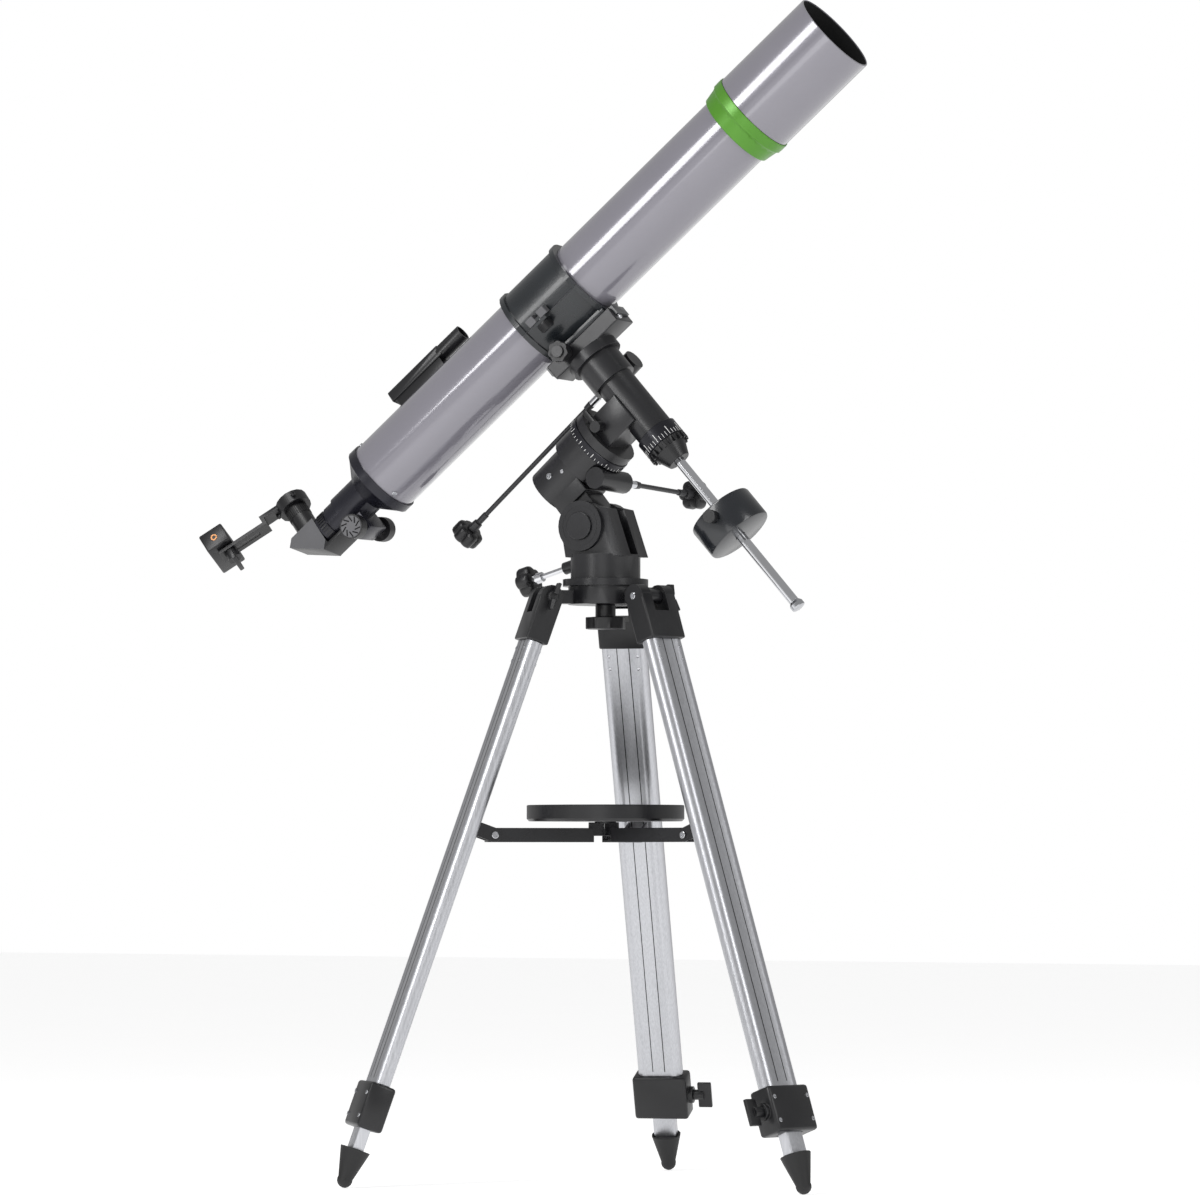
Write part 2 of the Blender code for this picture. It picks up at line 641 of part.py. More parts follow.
def polar_housing(azimuth):
    """The tilting casting with the polar shaft's bore, worm tube and pivot block. Returns the polar frame."""
    pivot_at = Vector((LATITUDE_X, 0, LATITUDE_Z))
    latitude = frame("latitude_axis", azimuth, pivot_at)
    polar = frame("polar_axis", latitude, Vector(POLAR_ORIGIN) - pivot_at, turned_about("Y", -LATITUDE))
    pivot = turned_about("Y", LATITUDE) @ (pivot_at - Vector(POLAR_ORIGIN))
    body = rod((RA_STEP - 0.001, 0, 0), (RA_BODY_END, 0, 0), RA_BODY_RADIUS, sides=FINE)
    rear = rod((REAR_TUBE_END, 0, 0), (RA_STEP, 0, 0), REAR_TUBE_RADIUS, sides=FINE)
    side = block((-0.161, -0.025, -0.042), (-0.111, 0.025, 0.0), 0.002)
    neck = block((-0.160, -0.0205, pivot.z), (-0.116, 0.0205, -0.030))
    knuckle = rod((pivot.x, -0.0205, pivot.z), (pivot.x, 0.0205, pivot.z), 0.026)
    tilt = turned_about("X", RA_WORM_TILT)
    worm_at = Vector((RA_WORM_X, 0, RA_WORM_DEPTH))
    worm_back = worm_at + tilt @ Vector((0, -0.030, 0))
    worm_front = worm_at + tilt @ Vector((0, 0.036, 0))
    worm_tube = rod(worm_back, worm_front, WORM_HOUSING_RADIUS)
    shaft_bore = rod((REAR_TUBE_END - 0.01, 0, 0), (-0.05, 0, 0), RA_SHAFT_RADIUS + GAP)
    cavity = rod((-0.103, 0, 0), (-0.05, 0, 0), RA_CAVITY_RADIUS, sides=FINE)
    pivot_bore = rod((pivot.x, -0.05, pivot.z), (pivot.x, 0.05, pivot.z), PIVOT_RADIUS + GAP)
    worm_stop = worm_at + tilt @ Vector((0, -0.024, 0))
    worm_bore = rod(worm_stop, worm_at + tilt @ Vector((0, 0.05, 0)), WORM_RADIUS + 2 * GAP)
    cuts = [shaft_bore, cavity, pivot_bore, worm_bore]
    joined = [rear, side, neck, knuckle, worm_tube]
    piece("polar_housing", latitude, CAST_BLACK, body, joined, cuts, polar.matrix_basis)
    ra_worm(polar, worm_at, tilt)
    return polar


def slow_motion(name, seat, worm_start, worm_end, knob_at, knob_length):
    """A worm with its coupling, flexible cable and lobed knob, all about the seat's Z axis."""
    worm = rod((0, 0, worm_start), (0, 0, worm_end), WORM_RADIUS)
    shaft = rod((0, 0, worm_end - 0.001), (0, 0, worm_end + 0.030), 0.004, sides=SMALL)
    coupling = rod((0, 0, worm_end + 0.020), (0, 0, worm_end + 0.050), 0.0065)
    cable = rod((0, 0, worm_end + 0.048), (0, 0, knob_at - 0.010), 0.0035, sides=SMALL)
    ferrule = rod((0, 0, knob_at - knob_length - 0.012), (0, 0, knob_at), 0.0055, sides=SMALL)
    half = knob_length / 2
    knob = lobed_knob(LOBED_KNOB_RADIUS, knob_at - half, knob_at + half, 6, 0.12)
    piece(name, seat, BLACK_PLASTIC, worm, [shaft, coupling, cable, ferrule, knob])


def ra_worm(polar, worm_at, tilt):
    seat = frame("ra_worm_axis", polar, worm_at, tilt @ pointing((0, 1, 0)))
    slow_motion("ra_slow_motion", seat, -0.0235, 0.037, RA_KNOB_DISTANCE, 0.022)


def ra_parts(polar):
    """What turns in hour angle, apart from the declination head's own castings. Returns the head's frame."""
    head = frame("ra_axis", polar, (0, 0, 0), turned_about("X", HOUR_ANGLE))
    neck_end = HEAD_FLANGE_START + HEAD_FLANGE_LENGTH + 0.010
    shaft = rod((REAR_TUBE_END + 0.003, 0, 0), (neck_end, 0, 0), RA_SHAFT_RADIUS)
    wheel = rod((-0.100, 0, 0), (-0.082, 0, 0), RA_WHEEL_RADIUS, sides=FINE)
    piece("ra_shaft", head, MACHINED_STEEL, shaft, [wheel])
    start = RA_BODY_END + GAP
    circle = ring(RA_CIRCLE_RADIUS, RA_SHAFT_RADIUS + GAP, start, start + RA_CIRCLE_LENGTH)
    piece("ra_setting_circle", head, BLACK_PLASTIC, circle)
    lever_seat = frame("ra_lock_axis", head, (-0.042, -NECK_HALF_WIDTH - GAP, 0.005), pointing((0, -1, 0)))
    hub = rod((0, 0, 0), (0, 0, 0.014), 0.0075)
    arm = block((-0.0035, 0, 0.004), (0.0035, 0.026, 0.010), 0.001)
    piece("ra_lock_lever", lever_seat, BLACK_PLASTIC, hub, [arm])
    return head


def dec_housing(head):
    """The declination head: a flange on the polar shaft, a neck, the barrel and the worm's collar."""
    flange_end = HEAD_FLANGE_START + HEAD_FLANGE_LENGTH
    flange = rod((HEAD_FLANGE_START, 0, 0), (flange_end, 0, 0), HEAD_FLANGE_RADIUS, sides=FINE)
    low = (flange_end - 0.001, -NECK_HALF_WIDTH, -NECK_HALF_HEIGHT)
    neck = block(low, (0.0, NECK_HALF_WIDTH, NECK_HALF_HEIGHT), 0.002)
    barrel = rod((0, 0, BARREL_BOTTOM), (0, 0, BARREL_TOP + 0.001), BARREL_RADIUS, sides=FINE)
    collar = rod((0, 0, BARREL_TOP), (0, 0, COLLAR_TOP), COLLAR_RADIUS, sides=FINE)
    worm_start = (-0.030, DEC_WORM_Y, DEC_WORM_Z)
    worm_tube = rod(worm_start, (0.026, DEC_WORM_Y, DEC_WORM_Z), WORM_HOUSING_RADIUS)
    ra_bore = rod((-0.08, 0, 0), (flange_end + 0.0105, 0, 0), RA_SHAFT_RADIUS + GAP)
    dec_bore = rod((0, 0, -0.1), (0, 0, 0.1), DEC_SHAFT_RADIUS + GAP)
    cavity = rod((0, 0, 0.050), (0, 0, 0.1), DEC_WHEEL_RADIUS + 3 * GAP, sides=FINE)
    worm_bore = rod((-0.05, DEC_WORM_Y, DEC_WORM_Z), (0.020, DEC_WORM_Y, DEC_WORM_Z), WORM_RADIUS + 2 * GAP)
    join = [neck, barrel, collar, worm_tube]
    piece("dec_housing", head, CAST_BLACK, flange, join, [ra_bore, dec_bore, cavity, worm_bore])
    seat = frame("dec_worm_axis", head, (0, DEC_WORM_Y, DEC_WORM_Z), pointing((-1, 0, 0)))
    slow_motion("dec_slow_motion", seat, -0.0195, 0.030, DEC_KNOB_DISTANCE, 0.022)


def dec_parts(head):
    """What turns in declination below the saddle. Returns the declination frame."""
    dec = frame("dec_axis", head, (0, 0, 0), turned_about("Z", DECLINATION_TURN))
    circle_top = BARREL_BOTTOM - GAP
    circle_bottom = circle_top - DEC_CIRCLE_LENGTH
    nose_top = circle_bottom - GAP
    nose_end = nose_top - NOSE_LENGTH
    shaft_end = nose_top - 0.014
    shaft = rod((0, 0, shaft_end), (0, 0, SADDLE_DECK - 0.004), DEC_SHAFT_RADIUS)
    wheel = rod((0, 0, 0.053), (0, 0, 0.065), DEC_WHEEL_RADIUS, sides=FINE)
    piece("dec_shaft", dec, MACHINED_STEEL, shaft, [wheel])
    circle = ring(DEC_CIRCLE_RADIUS, DEC_SHAFT_RADIUS + GAP, circle_bottom, circle_top, "Z")
    piece("dec_setting_circle", dec, BLACK_PLASTIC, circle)
    nose = rod((0, 0, nose_top), (0, 0, nose_end), 0.027, 0.015, sides=FINE)
    shaft_socket = rod((0, 0, nose_top + 0.01), (0, 0, shaft_end - GAP), DEC_SHAFT_RADIUS + GAP)
    bar_bore = rod((0, 0, nose_top), (0, 0, nose_end - 0.01), BAR_RADIUS + GAP)
    piece("bar_nut", dec, CAST_BLACK, nose, [], [shaft_socket, bar_bore])
    bar = rod((0, 0, shaft_end - 2 * GAP), (0, 0, BAR_END), BAR_RADIUS)
    piece("counterweight_bar", dec, MACHINED_STEEL, bar)
    cap = rod((0, 0, BAR_END - GAP), (0, 0, BAR_END - GAP - 0.010), 0.0092)
    piece("bar_end_cap", dec, MACHINED_STEEL, cap)
    counterweight(dec)
    return dec


def counterweight(dec):
    """The sliding weight and the screw that locks it to the bar."""
    slide = frame("counterweight_axis", dec, (0, 0, WEIGHT_TOP))
    weight = rod((0, 0, 0), (0, 0, -WEIGHT_LENGTH), WEIGHT_RADIUS, sides=FINE)
    bore = rod((0, 0, 0.01), (0, 0, -WEIGHT_LENGTH - 0.01), BAR_RADIUS + 2 * GAP)
    screw_hole = rod((0, 0, -0.013), (0, -0.06, -0.013), SCREW_RADIUS + 2 * GAP, sides=SMALL)
    weight_round = weight.modifiers.new("rounded_edges", "BEVEL")
    weight_round.width = 0.002
    weight_round.segments = 2
    piece("counterweight", slide, CAST_BLACK, weight, [], [bore, screw_hole])
    seat = frame("counterweight_lock_axis", slide, (0, -WEIGHT_RADIUS - GAP, -0.013), pointing((0, -1, 0)))
    stem = rod((0, 0, BAR_RADIUS + 2 * GAP - WEIGHT_RADIUS), (0, 0, 0.004), SCREW_RADIUS, sides=SMALL)
    piece("counterweight_lock_screw", seat, BLACK_PLASTIC, lobed_knob(0.009, 0.001, 0.013, 6, 0.05), [stem])


def saddle(dec):
    """The disc and deck that hold the dovetail bar, with the clamping knob on the west side."""
    disc = rod((0, 0, COLLAR_TOP + GAP), (0, 0, SADDLE_DECK), SADDLE_DISC_RADIUS, sides=FINE)
    half = SADDLE_HALF_WIDTH
    deck = block((SADDLE_BACK, -half, SADDLE_DECK - 0.001), (SADDLE_FRONT, half, SADDLE_TOP), 0.0015)
    socket = rod((0, 0, COLLAR_TOP - 0.01), (0, 0, SADDLE_DECK - 0.004 + GAP), DEC_SHAFT_RADIUS + GAP)
    groove_half = DOVETAIL_HALF_WIDTH + GAP
    groove = block((-0.1, -groove_half, DOVETAIL_BOTTOM - GAP), (0.1, groove_half, SADDLE_TOP + 0.01))
    knob_z = (DOVETAIL_BOTTOM + SADDLE_TOP) / 2
    screw_hole = rod((-0.017, 0, knob_z), (-0.017, -0.05, knob_z), SCREW_RADIUS + 2 * GAP, sides=SMALL)
    piece("saddle", dec, CAST_BLACK, disc, [deck], [socket, groove, screw_hole])
    seat = frame("saddle_knob_axis", dec, (-0.017, -half - GAP, knob_z), pointing((0, -1, 0)))
    stem = rod((0, 0, groove_half - half + GAP), (0, 0, 0.018), SCREW_RADIUS, sides=SMALL)
    neck = rod((0, 0, 0), (0, 0, 0.018), 0.007)
    cap = rod((0, 0, 0.029), (0, 0, 0.033), 0.008)
    piece("saddle_knob", seat, BLACK_PLASTIC, lobed_knob(0.014, 0.015, 0.030, 7, 0.07), [stem, neck, cap])


def cradle(dec):
    """Two half rings round the tube, hinged on the east and clamped on the west. Returns the tube's frame."""
    tube = frame("tube_axis", dec, (0, 0, TUBE_HEIGHT))
    split = frame("cradle_frame", tube, (0, 0, 0), turned_about("X", CRADLE_SPLIT_TURN))
    swing = frame("cradle_hinge_axis", split, (0, HINGE_RADIUS, 0))
    back, front = CRADLE_BACK + 0.010, CRADLE_FRONT - 0.010
    third = (front - back) / 3
    middle = (back + third + GAP, front - third - GAP)
    stretches = {1: [middle], -1: [(back, back + third), (front - third, front)]}
    halves = {}
    for side in (1, -1):
        inner = TUBE_RADIUS + GAP
        solids = [half_ring(CRADLE_OUTER_RADIUS, inner, CRADLE_BACK + 0.001, CRADLE_FRONT - 0.001, side)]
        for start in (CRADLE_BACK, CRADLE_FRONT - CRADLE_BEAD):
            solids.append(half_ring(CRADLE_BEAD_RADIUS, inner, start, start + CRADLE_BEAD, side))
        near, far = sorted((side * GAP, side * 0.0045))
        solids.append(block((-0.016, -0.074, near), (0.004, 0.001 - CRADLE_OUTER_RADIUS, far)))
        for start, end in stretches[side]:
            solids.append(rod((start, HINGE_RADIUS, 0), (end, HINGE_RADIUS, 0), 0.005, sides=SMALL))
            solids.append(block((start, CRADLE_OUTER_RADIUS - 0.001, near), (end, HINGE_RADIUS, far)))
        hole_ends = [(-0.006, -0.0665, z) for z in (-0.02, 0.02)]
        stud_hole = rod(hole_ends[0], hole_ends[1], SCREW_RADIUS + 2 * GAP, sides=SMALL)
        halves[side] = (solids, stud_hole)
    solids, stud_hole = halves[1]
    unswung = Matrix.Translation((0, -HINGE_RADIUS, 0))
    piece("cradle_upper", swing, CAST_BLACK, solids[0], solids[1:], [stud_hole], unswung)
    solids, stud_hole = halves[-1]
    seat_z = SADDLE_TOP - TUBE_HEIGHT + GAP
    base = block((CRADLE_BACK + 0.002, -0.024, seat_z), (CRADLE_FRONT - 0.002, 0.024, -TUBE_RADIUS - 0.001))
    low = (SADDLE_BACK - 0.004, -DOVETAIL_HALF_WIDTH, DOVETAIL_BOTTOM - TUBE_HEIGHT)
    dovetail = block(low, (SADDLE_FRONT + 0.004, DOVETAIL_HALF_WIDTH, seat_z + 0.001))
    base.parent = tube
    dovetail.parent = tube
    joined = solids[1:] + [base, dovetail]
    piece("cradle_lower", split, CAST_BLACK, solids[0], joined, [stud_hole], solver="MANIFOLD")
    knob_seat = frame("cradle_knob_axis", split, (-0.006, -0.0665, -0.0045), pointing((0, 0, -1)))
    stem = rod((0, 0, -0.0085), (0, 0, 0.002), SCREW_RADIUS, sides=SMALL)
    piece("cradle_knob", knob_seat, BLACK_PLASTIC, lobed_knob(0.0105, GAP, 0.012, 9, 0.03), [stem])
    return tube


def optical_tube(tube):
    """The painted tube, the lens cell's ring, the dew shield and the objective."""
    piece("main_tube", tube, GREY_PAINT, ring(TUBE_RADIUS, TUBE_RADIUS - TUBE_WALL, TUBE_BACK, TUBE_FRONT))
    seat = CELL_FRONT - 0.004
    cell = (
        (LENS_RADIUS + GAP, CELL_FRONT),
        (CELL_LIP_RADIUS, CELL_FRONT),
        (CELL_LIP_RADIUS, CELL_FRONT - 0.013),
        (CELL_LIP_RADIUS - 0.002, CELL_FRONT - 0.015),
        (CELL_LIP_RADIUS - 0.004, CELL_FRONT - 0.022),
        (TUBE_RADIUS + 0.002, TUBE_FRONT - 0.001),
        (TUBE_RADIUS + 0.0015, TUBE_FRONT - 0.005),
        (TUBE_RADIUS + GAP, TUBE_FRONT - 0.005),
        (TUBE_RADIUS + GAP, TUBE_FRONT + GAP),
        (LENS_RADIUS - 0.003, TUBE_FRONT + GAP),
        (LENS_RADIUS - 0.003, seat - 0.018),
        (LENS_RADIUS + GAP, seat - 0.018),
    )
    piece("lens_cell_ring", tube, GREEN_ANODISED, turned(cell, "X", FINE, closed=True))
    shield_back = CELL_FRONT + GAP
    shield = ring(SHIELD_RADIUS, SHIELD_RADIUS - SHIELD_WALL, shield_back, SHIELD_FRONT)
    piece("dew_shield", tube, GREY_PAINT, shield)
    lens = (
        (0.0, seat),
        (LENS_RADIUS * 0.6, seat - 0.001),
        (LENS_RADIUS, seat - 0.004),
        (LENS_RADIUS, seat - 0.014),
        (LENS_RADIUS * 0.6, seat - 0.0165),
        (0.0, seat - 0.0175),
    )
    piece("objective_lens", tube, GLASS, turned(lens, "X", FINE))


def focuser(tube):
    """The focuser body, the drawtube that slides in it and the pinion. Returns the drawtube's frame."""
    outer = (
        (0.0, FOCUSER_END),
        (FOCUSER_NECK_RADIUS, FOCUSER_END),
        (FOCUSER_NECK_RADIUS, FOCUSER_STEP),
        (FOCUSER_RADIUS, FOCUSER_STEP),
        (FOCUSER_RADIUS, FOCUSER_CONE_END),
        (FOCUSER_LIP_RADIUS - 0.003, TUBE_BACK - 0.008),
        (FOCUSER_LIP_RADIUS, TUBE_BACK - 0.006),
        (FOCUSER_LIP_RADIUS, TUBE_BACK + 0.006),
        (0.0, TUBE_BACK + 0.006),
    )
    body = turned(tuple(reversed(outer)), "X", FINE)
    low = (PINION_X - 0.013, -0.024, -PINION_DROP - 0.010)
    housing = block(low, (PINION_X + 0.013, 0.024, -0.018), 0.002)
    tube_seat = rod((TUBE_BACK - GAP, 0, 0), (TUBE_BACK + 0.05, 0, 0), TUBE_RADIUS + GAP, sides=FINE)
    cone_ends = [(TUBE_BACK + 0.001, 0, 0), (FOCUSER_CONE_END + 0.002, 0, 0)]
    funnel = rod(cone_ends[0], cone_ends[1], TUBE_RADIUS - 0.004, 0.0235, sides=FINE)
    bore = rod((-0.30, 0, 0), (-0.45, 0, 0), DRAWTUBE_RADIUS + GAP, sides=FINE)
    rack_slot = block((FOCUSER_END - 0.01, -0.0035, -0.0262), (FOCUSER_CONE_END + 0.01, 0.0035, -0.015))
    room_ends = [(PINION_X, y, -PINION_DROP) for y in (-0.004, 0.004)]
    pinion_room = rod(room_ends[0], room_ends[1], PINION_RADIUS + 2 * GAP)
    bore_ends = [(PINION_X, y, -PINION_DROP) for y in (-0.06, 0.06)]
    shaft_bore = rod(bore_ends[0], bore_ends[1], 0.004 + GAP, sides=SMALL)
    cuts = [tube_seat, funnel, bore, rack_slot, pinion_room, shaft_bore]
    piece("focuser_body", tube, BLACK_ANODISED, body, [housing], cuts)
    slide = frame("drawtube_axis", tube)
    collar_front = FOCUSER_END - 0.004
    collar_back = collar_front - 0.0135
    drawtube = rod((DRAWTUBE_FRONT, 0, 0), (collar_back, 0, 0), DRAWTUBE_RADIUS, sides=FINE)
    collar = rod((collar_front, 0, 0), (collar_back, 0, 0), DRAWTUBE_COLLAR_RADIUS, sides=FINE)
    rack = block((FOCUSER_END + 0.0095, -0.003, -0.0258), (PINION_X + 0.080, 0.003, -0.018))
    light_bore = rod((DRAWTUBE_FRONT + 0.01, 0, 0), (collar_back - 0.01, 0, 0), DRAWTUBE_BORE, sides=FINE)
    piece("drawtube", slide, BLACK_ANODISED, drawtube, [collar, rack], [light_bore])
    pinion = frame("pinion_axis", tube, (PINION_X, 0, -PINION_DROP), pointing((0, 1, 0)))
    reach = FOCUS_KNOB_Y + FOCUS_KNOB_WIDTH
    shaft = rod((0, 0, -reach + 0.002), (0, 0, reach - 0.002), 0.004, sides=SMALL)
    gear = lobed_knob(PINION_RADIUS, -0.0032, 0.0032, 12, 0.03)
    knobs = [rod((0, 0, s * FOCUS_KNOB_Y), (0, 0, s * reach), FOCUS_KNOB_RADIUS, sides=FINE) for s in (-1, 1)]
    hubs = [rod((0, 0, s * 0.0255), (0, 0, s * (FOCUS_KNOB_Y + 0.001)), 0.008) for s in (-1, 1)]
    piece("focus_pinion", pinion, BLACK_ANODISED, shaft, [gear] + knobs + hubs)
    return slide


def diagonal(slide):
    """The star diagonal in the drawtube, which turns about the tube's axis. Returns its frame."""
    body_frame = frame("diagonal_axis", slide, (0, 0, 0), turned_about("X", DIAGONAL_TURN))
    half = DIAGONAL_LEG / 2
    back = DIAGONAL_FACE - DIAGONAL_LEG
    top = (DIAGONAL_FACE, half)
    outline = [
        top,
        (back, half),
        (back - DIAGONAL_MARGIN, half - DIAGONAL_MARGIN),
        (DIAGONAL_FACE - DIAGONAL_MARGIN, -half - DIAGONAL_MARGIN),
        (DIAGONAL_FACE + 0.027, -half - DIAGONAL_MARGIN),
        (DIAGONAL_FACE + 0.027, -FOCUSER_NECK_RADIUS - 2 * GAP),
        (DIAGONAL_FACE + 0.001, -FOCUSER_NECK_RADIUS - 2 * GAP),
        (DIAGONAL_FACE, -half),
    ]
    width = DIAGONAL_HALF_WIDTH
    body = extruded(outline, -width, width, turned_about("X", 90), 0.001)
    nose = rod((DIAGONAL_FACE - 0.002, 0, 0), (FOCUSER_END + 0.003, 0, 0), DRAWTUBE_BORE - 2 * GAP)
    eye_x = DIAGONAL_FACE - half
    light_in = rod((0, 0, 0), (eye_x, 0, 0), 0.011)
    light_out = rod((eye_x, 0, -0.004), (eye_x, 0, 0.05), 0.012 + GAP)
    piece("diagonal", body_frame, BLACK_PLASTIC, body, [nose], [light_in, light_out])
    barrel = rod((eye_x, 0, 0.012), (eye_x, 0, half + 0.002), 0.012)
    ocular = rod((eye_x, 0, half + GAP), (eye_x, 0, EYEPIECE_TOP), EYEPIECE_RADIUS)
    piece("eyepiece", body_frame, BLACK_PLASTIC, ocular, [barrel])
    return body_frame, eye_x


def phone_adapter(body_frame, eye_x):
    """The clamp ring and cranked arm on the eyepiece, the sliding holder block and its wing knob."""
    arm = frame("adapter_axis", body_frame, (eye_x, 0, 0), turned_about("Z", ADAPTER_TURN))
    collar = rod((0, 0, ADAPTER_RING_BOTTOM), (0, 0, ADAPTER_RING_TOP), ADAPTER_RING_RADIUS)
    wide = ARM_PLATE_HALF_WIDTH
    upper = block((ARM_PLATE_STEP, -wide, 0.070), (-0.016, wide, ADAPTER_RING_TOP - 0.0005))
    riser = block((ARM_PLATE_STEP, -wide, ADAPTER_RING_BOTTOM), (ARM_PLATE_STEP + 0.005, wide, 0.0712))
    lower = block((ARM_PLATE_END, -wide, ADAPTER_RING_BOTTOM), (ARM_PLATE_STEP + 0.001, wide, 0.065))
    bore = rod((0, 0, 0.05), (0, 0, 0.08), EYEPIECE_RADIUS + GAP)
    slot = block((ARM_PLATE_END + 0.006, -0.0035, 0.05), (ARM_PLATE_STEP - 0.010, 0.0035, 0.068))
    piece("phone_arm", arm, BLACK_PLASTIC, collar, [upper, riser, lower], [bore, slot])
    slide = frame("phone_holder_axis", arm)
    holder = block((-0.126, -0.020, 0.067), (-0.092, 0.045, 0.095), 0.002)
    shank = rod((-0.101, 0, 0.0655), (-0.101, 0, 0.0680), 0.0045)
    thread = rod((-0.101, 0, 0.046), (-0.101, 0, 0.0680), 0.0030, sides=SMALL)
    piece("phone_holder", slide, BLACK_PLASTIC, holder, [shank, thread])
    seat = frame("phone_knob_axis", slide, (-0.101, 0, 0.0597), pointing((0, 0, -1)))
    washer = rod((0, 0, 0), (0, 0, 0.012), 0.009)
    wings = block((-0.003, -0.018, 0.005), (0.003, 0.018, 0.021), 0.001)
    hole = rod((0, 0, -0.01), (0, 0, 0.0145), 0.0030 + GAP, sides=SMALL)
    piece("phone_wing_nut", seat, BLACK_PLASTIC, washer, [wings], [hole])


def finder(tube):
    """The small sighting tube on its foot, on the upper east side."""
    seat = frame("finder_axis", tube, (0, 0, 0), turned_about("X", FINDER_TURN))
    z = FINDER_DISTANCE
    body = rod((FINDER_STEP, 0, z), (FINDER_FRONT, 0, z), FINDER_RADIUS)
    case = block((FINDER_BACK, -0.0105, z - 0.008), (FINDER_STEP + 0.006, 0.0105, z + 0.0085), 0.002)
    foot = block((FINDER_BACK + 0.006, -0.009, TUBE_RADIUS + GAP), (FINDER_STEP, 0.009, z - 0.007), 0.001)
    mouth = rod((FINDER_FRONT - 0.006, 0, z), (FINDER_FRONT + 0.01, 0, z), FINDER_RADIUS - 0.002)
    piece("finder", seat, BLACK_PLASTIC, body, [case, foot], [mouth])


def stand_at_origin(root):
    """Shifts the whole telescope so that the middle of its box lies over the origin."""
    bpy.context.view_layer.update()
    graph = bpy.context.evaluated_depsgraph_get()
    corners = []
    for thing in PARTS.objects:
        if thing.type == "MESH":
            solid = thing.evaluated_get(graph)
            corners += [solid.matrix_world @ vertex.co for vertex in solid.data.vertices]
    low_x, high_x = min(corner.x for corner in corners), max(corner.x for corner in corners)
    low_y, high_y = min(corner.y for corner in corners), max(corner.y for corner in corners)
    root.location = (-(low_x + high_x) / 2, -(low_y + high_y) / 2, 0.0)


root = frame("telescope_root", None)
tripod(root)
polar = polar_housing(azimuth_yoke(root))
head = ra_parts(polar)
dec_housing(head)
dec = dec_parts(head)
saddle(dec)
tube = cradle(dec)
optical_tube(tube)
slide = focuser(tube)
body_frame, eye_x = diagonal(slide)
phone_adapter(body_frame, eye_x)
finder(tube)
stand_at_origin(root)
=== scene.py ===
import json
import math

import bmesh
import bpy
from mathutils import Matrix, Vector
from mathutils.bvhtree import BVHTree


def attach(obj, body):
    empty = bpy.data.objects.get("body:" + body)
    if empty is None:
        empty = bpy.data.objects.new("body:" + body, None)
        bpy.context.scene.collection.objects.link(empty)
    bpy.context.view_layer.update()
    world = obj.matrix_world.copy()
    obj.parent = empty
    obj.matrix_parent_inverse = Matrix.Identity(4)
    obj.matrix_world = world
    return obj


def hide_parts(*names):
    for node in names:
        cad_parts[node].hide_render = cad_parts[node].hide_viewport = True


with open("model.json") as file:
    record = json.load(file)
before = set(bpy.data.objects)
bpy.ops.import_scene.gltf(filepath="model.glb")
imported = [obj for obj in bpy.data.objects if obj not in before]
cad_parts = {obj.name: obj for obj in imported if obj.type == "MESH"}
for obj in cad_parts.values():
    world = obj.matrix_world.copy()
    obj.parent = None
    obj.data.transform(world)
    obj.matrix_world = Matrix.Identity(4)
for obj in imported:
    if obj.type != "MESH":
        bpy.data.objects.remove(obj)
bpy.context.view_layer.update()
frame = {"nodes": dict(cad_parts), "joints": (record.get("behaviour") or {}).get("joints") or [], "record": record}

# A refractor telescope on its equatorial mount and folding tripod, dressed for a studio picture.
joint = {j["name"]: j for j in frame["joints"]}
body_of_node = {n: b for b, nodes in frame["record"]["behaviour"]["bodies"].items() for n in nodes}


# Camera. A long lens stands seven metres off at the height of the tray and looks slightly up,
# from the west side of the mount, with the tube running up to the right.
TURN_FROM_MERIDIAN = math.radians(32.0)
LOOK_UP = math.radians(2.554)
DISTANCE = 7.355
EYE_HEIGHT = 0.410
SIDE_STEP = -0.007
LENS_MM = 174.1

tripod_axis = Vector((*joint["azimuth_turn"]["pos_m"][:2], 0.0))
to_right = Vector((math.cos(TURN_FROM_MERIDIAN), math.sin(TURN_FROM_MERIDIAN), 0.0))
level_ahead = Vector((-math.sin(TURN_FROM_MERIDIAN), math.cos(TURN_FROM_MERIDIAN), 0.0))
camera = bpy.data.objects.new("studio_camera", bpy.data.cameras.new("studio_camera"))
bpy.context.scene.collection.objects.link(camera)
camera.data.lens = LENS_MM
camera.data.sensor_width = 36.0
camera.data.clip_end = 60.0
stand = tripod_axis - level_ahead * DISTANCE + to_right * SIDE_STEP
camera.location = stand + Vector((0, 0, EYE_HEIGHT))
ahead = level_ahead * math.cos(LOOK_UP) + Vector((0, 0, math.sin(LOOK_UP)))
camera.rotation_euler = ahead.to_track_quat("-Z", "Y").to_euler()
bpy.context.scene.camera = camera


# Floor and light. A pale floor that fades into a white surround, a tall strip light that draws the
# streak along the tube, and a broad soft light for the dark castings.
def linear(code):
    """An sRGB hex colour as linear values."""
    channels = [int(code[i:i + 2], 16) / 255 for i in (0, 2, 4)]
    return (*[((c + 0.055) / 1.055) ** 2.4 if c > 0.04 else c / 12.92 for c in channels], 1.0)


def add_node(tree, kind, settings=None, links=None):
    """Adds a node. Settings fill its sockets or properties, and links feed its sockets."""
    made = tree.nodes.new(kind)
    for key, value in (settings or {}).items():
        if not isinstance(key, int) and hasattr(made, key):
            setattr(made, key, value)
        else:
            made.inputs[key].default_value = value
    for key, source in (links or {}).items():
        tree.links.new(source, made.inputs[key])
    return made


def new_material(name):
    """A material's node tree with its shader and the object coordinates."""
    material = bpy.data.materials.new(name)
    material.use_nodes = True
    tree = material.node_tree
    place = add_node(tree, "ShaderNodeTexCoord").outputs["Object"]
    return material, tree, tree.nodes["Principled BSDF"], place


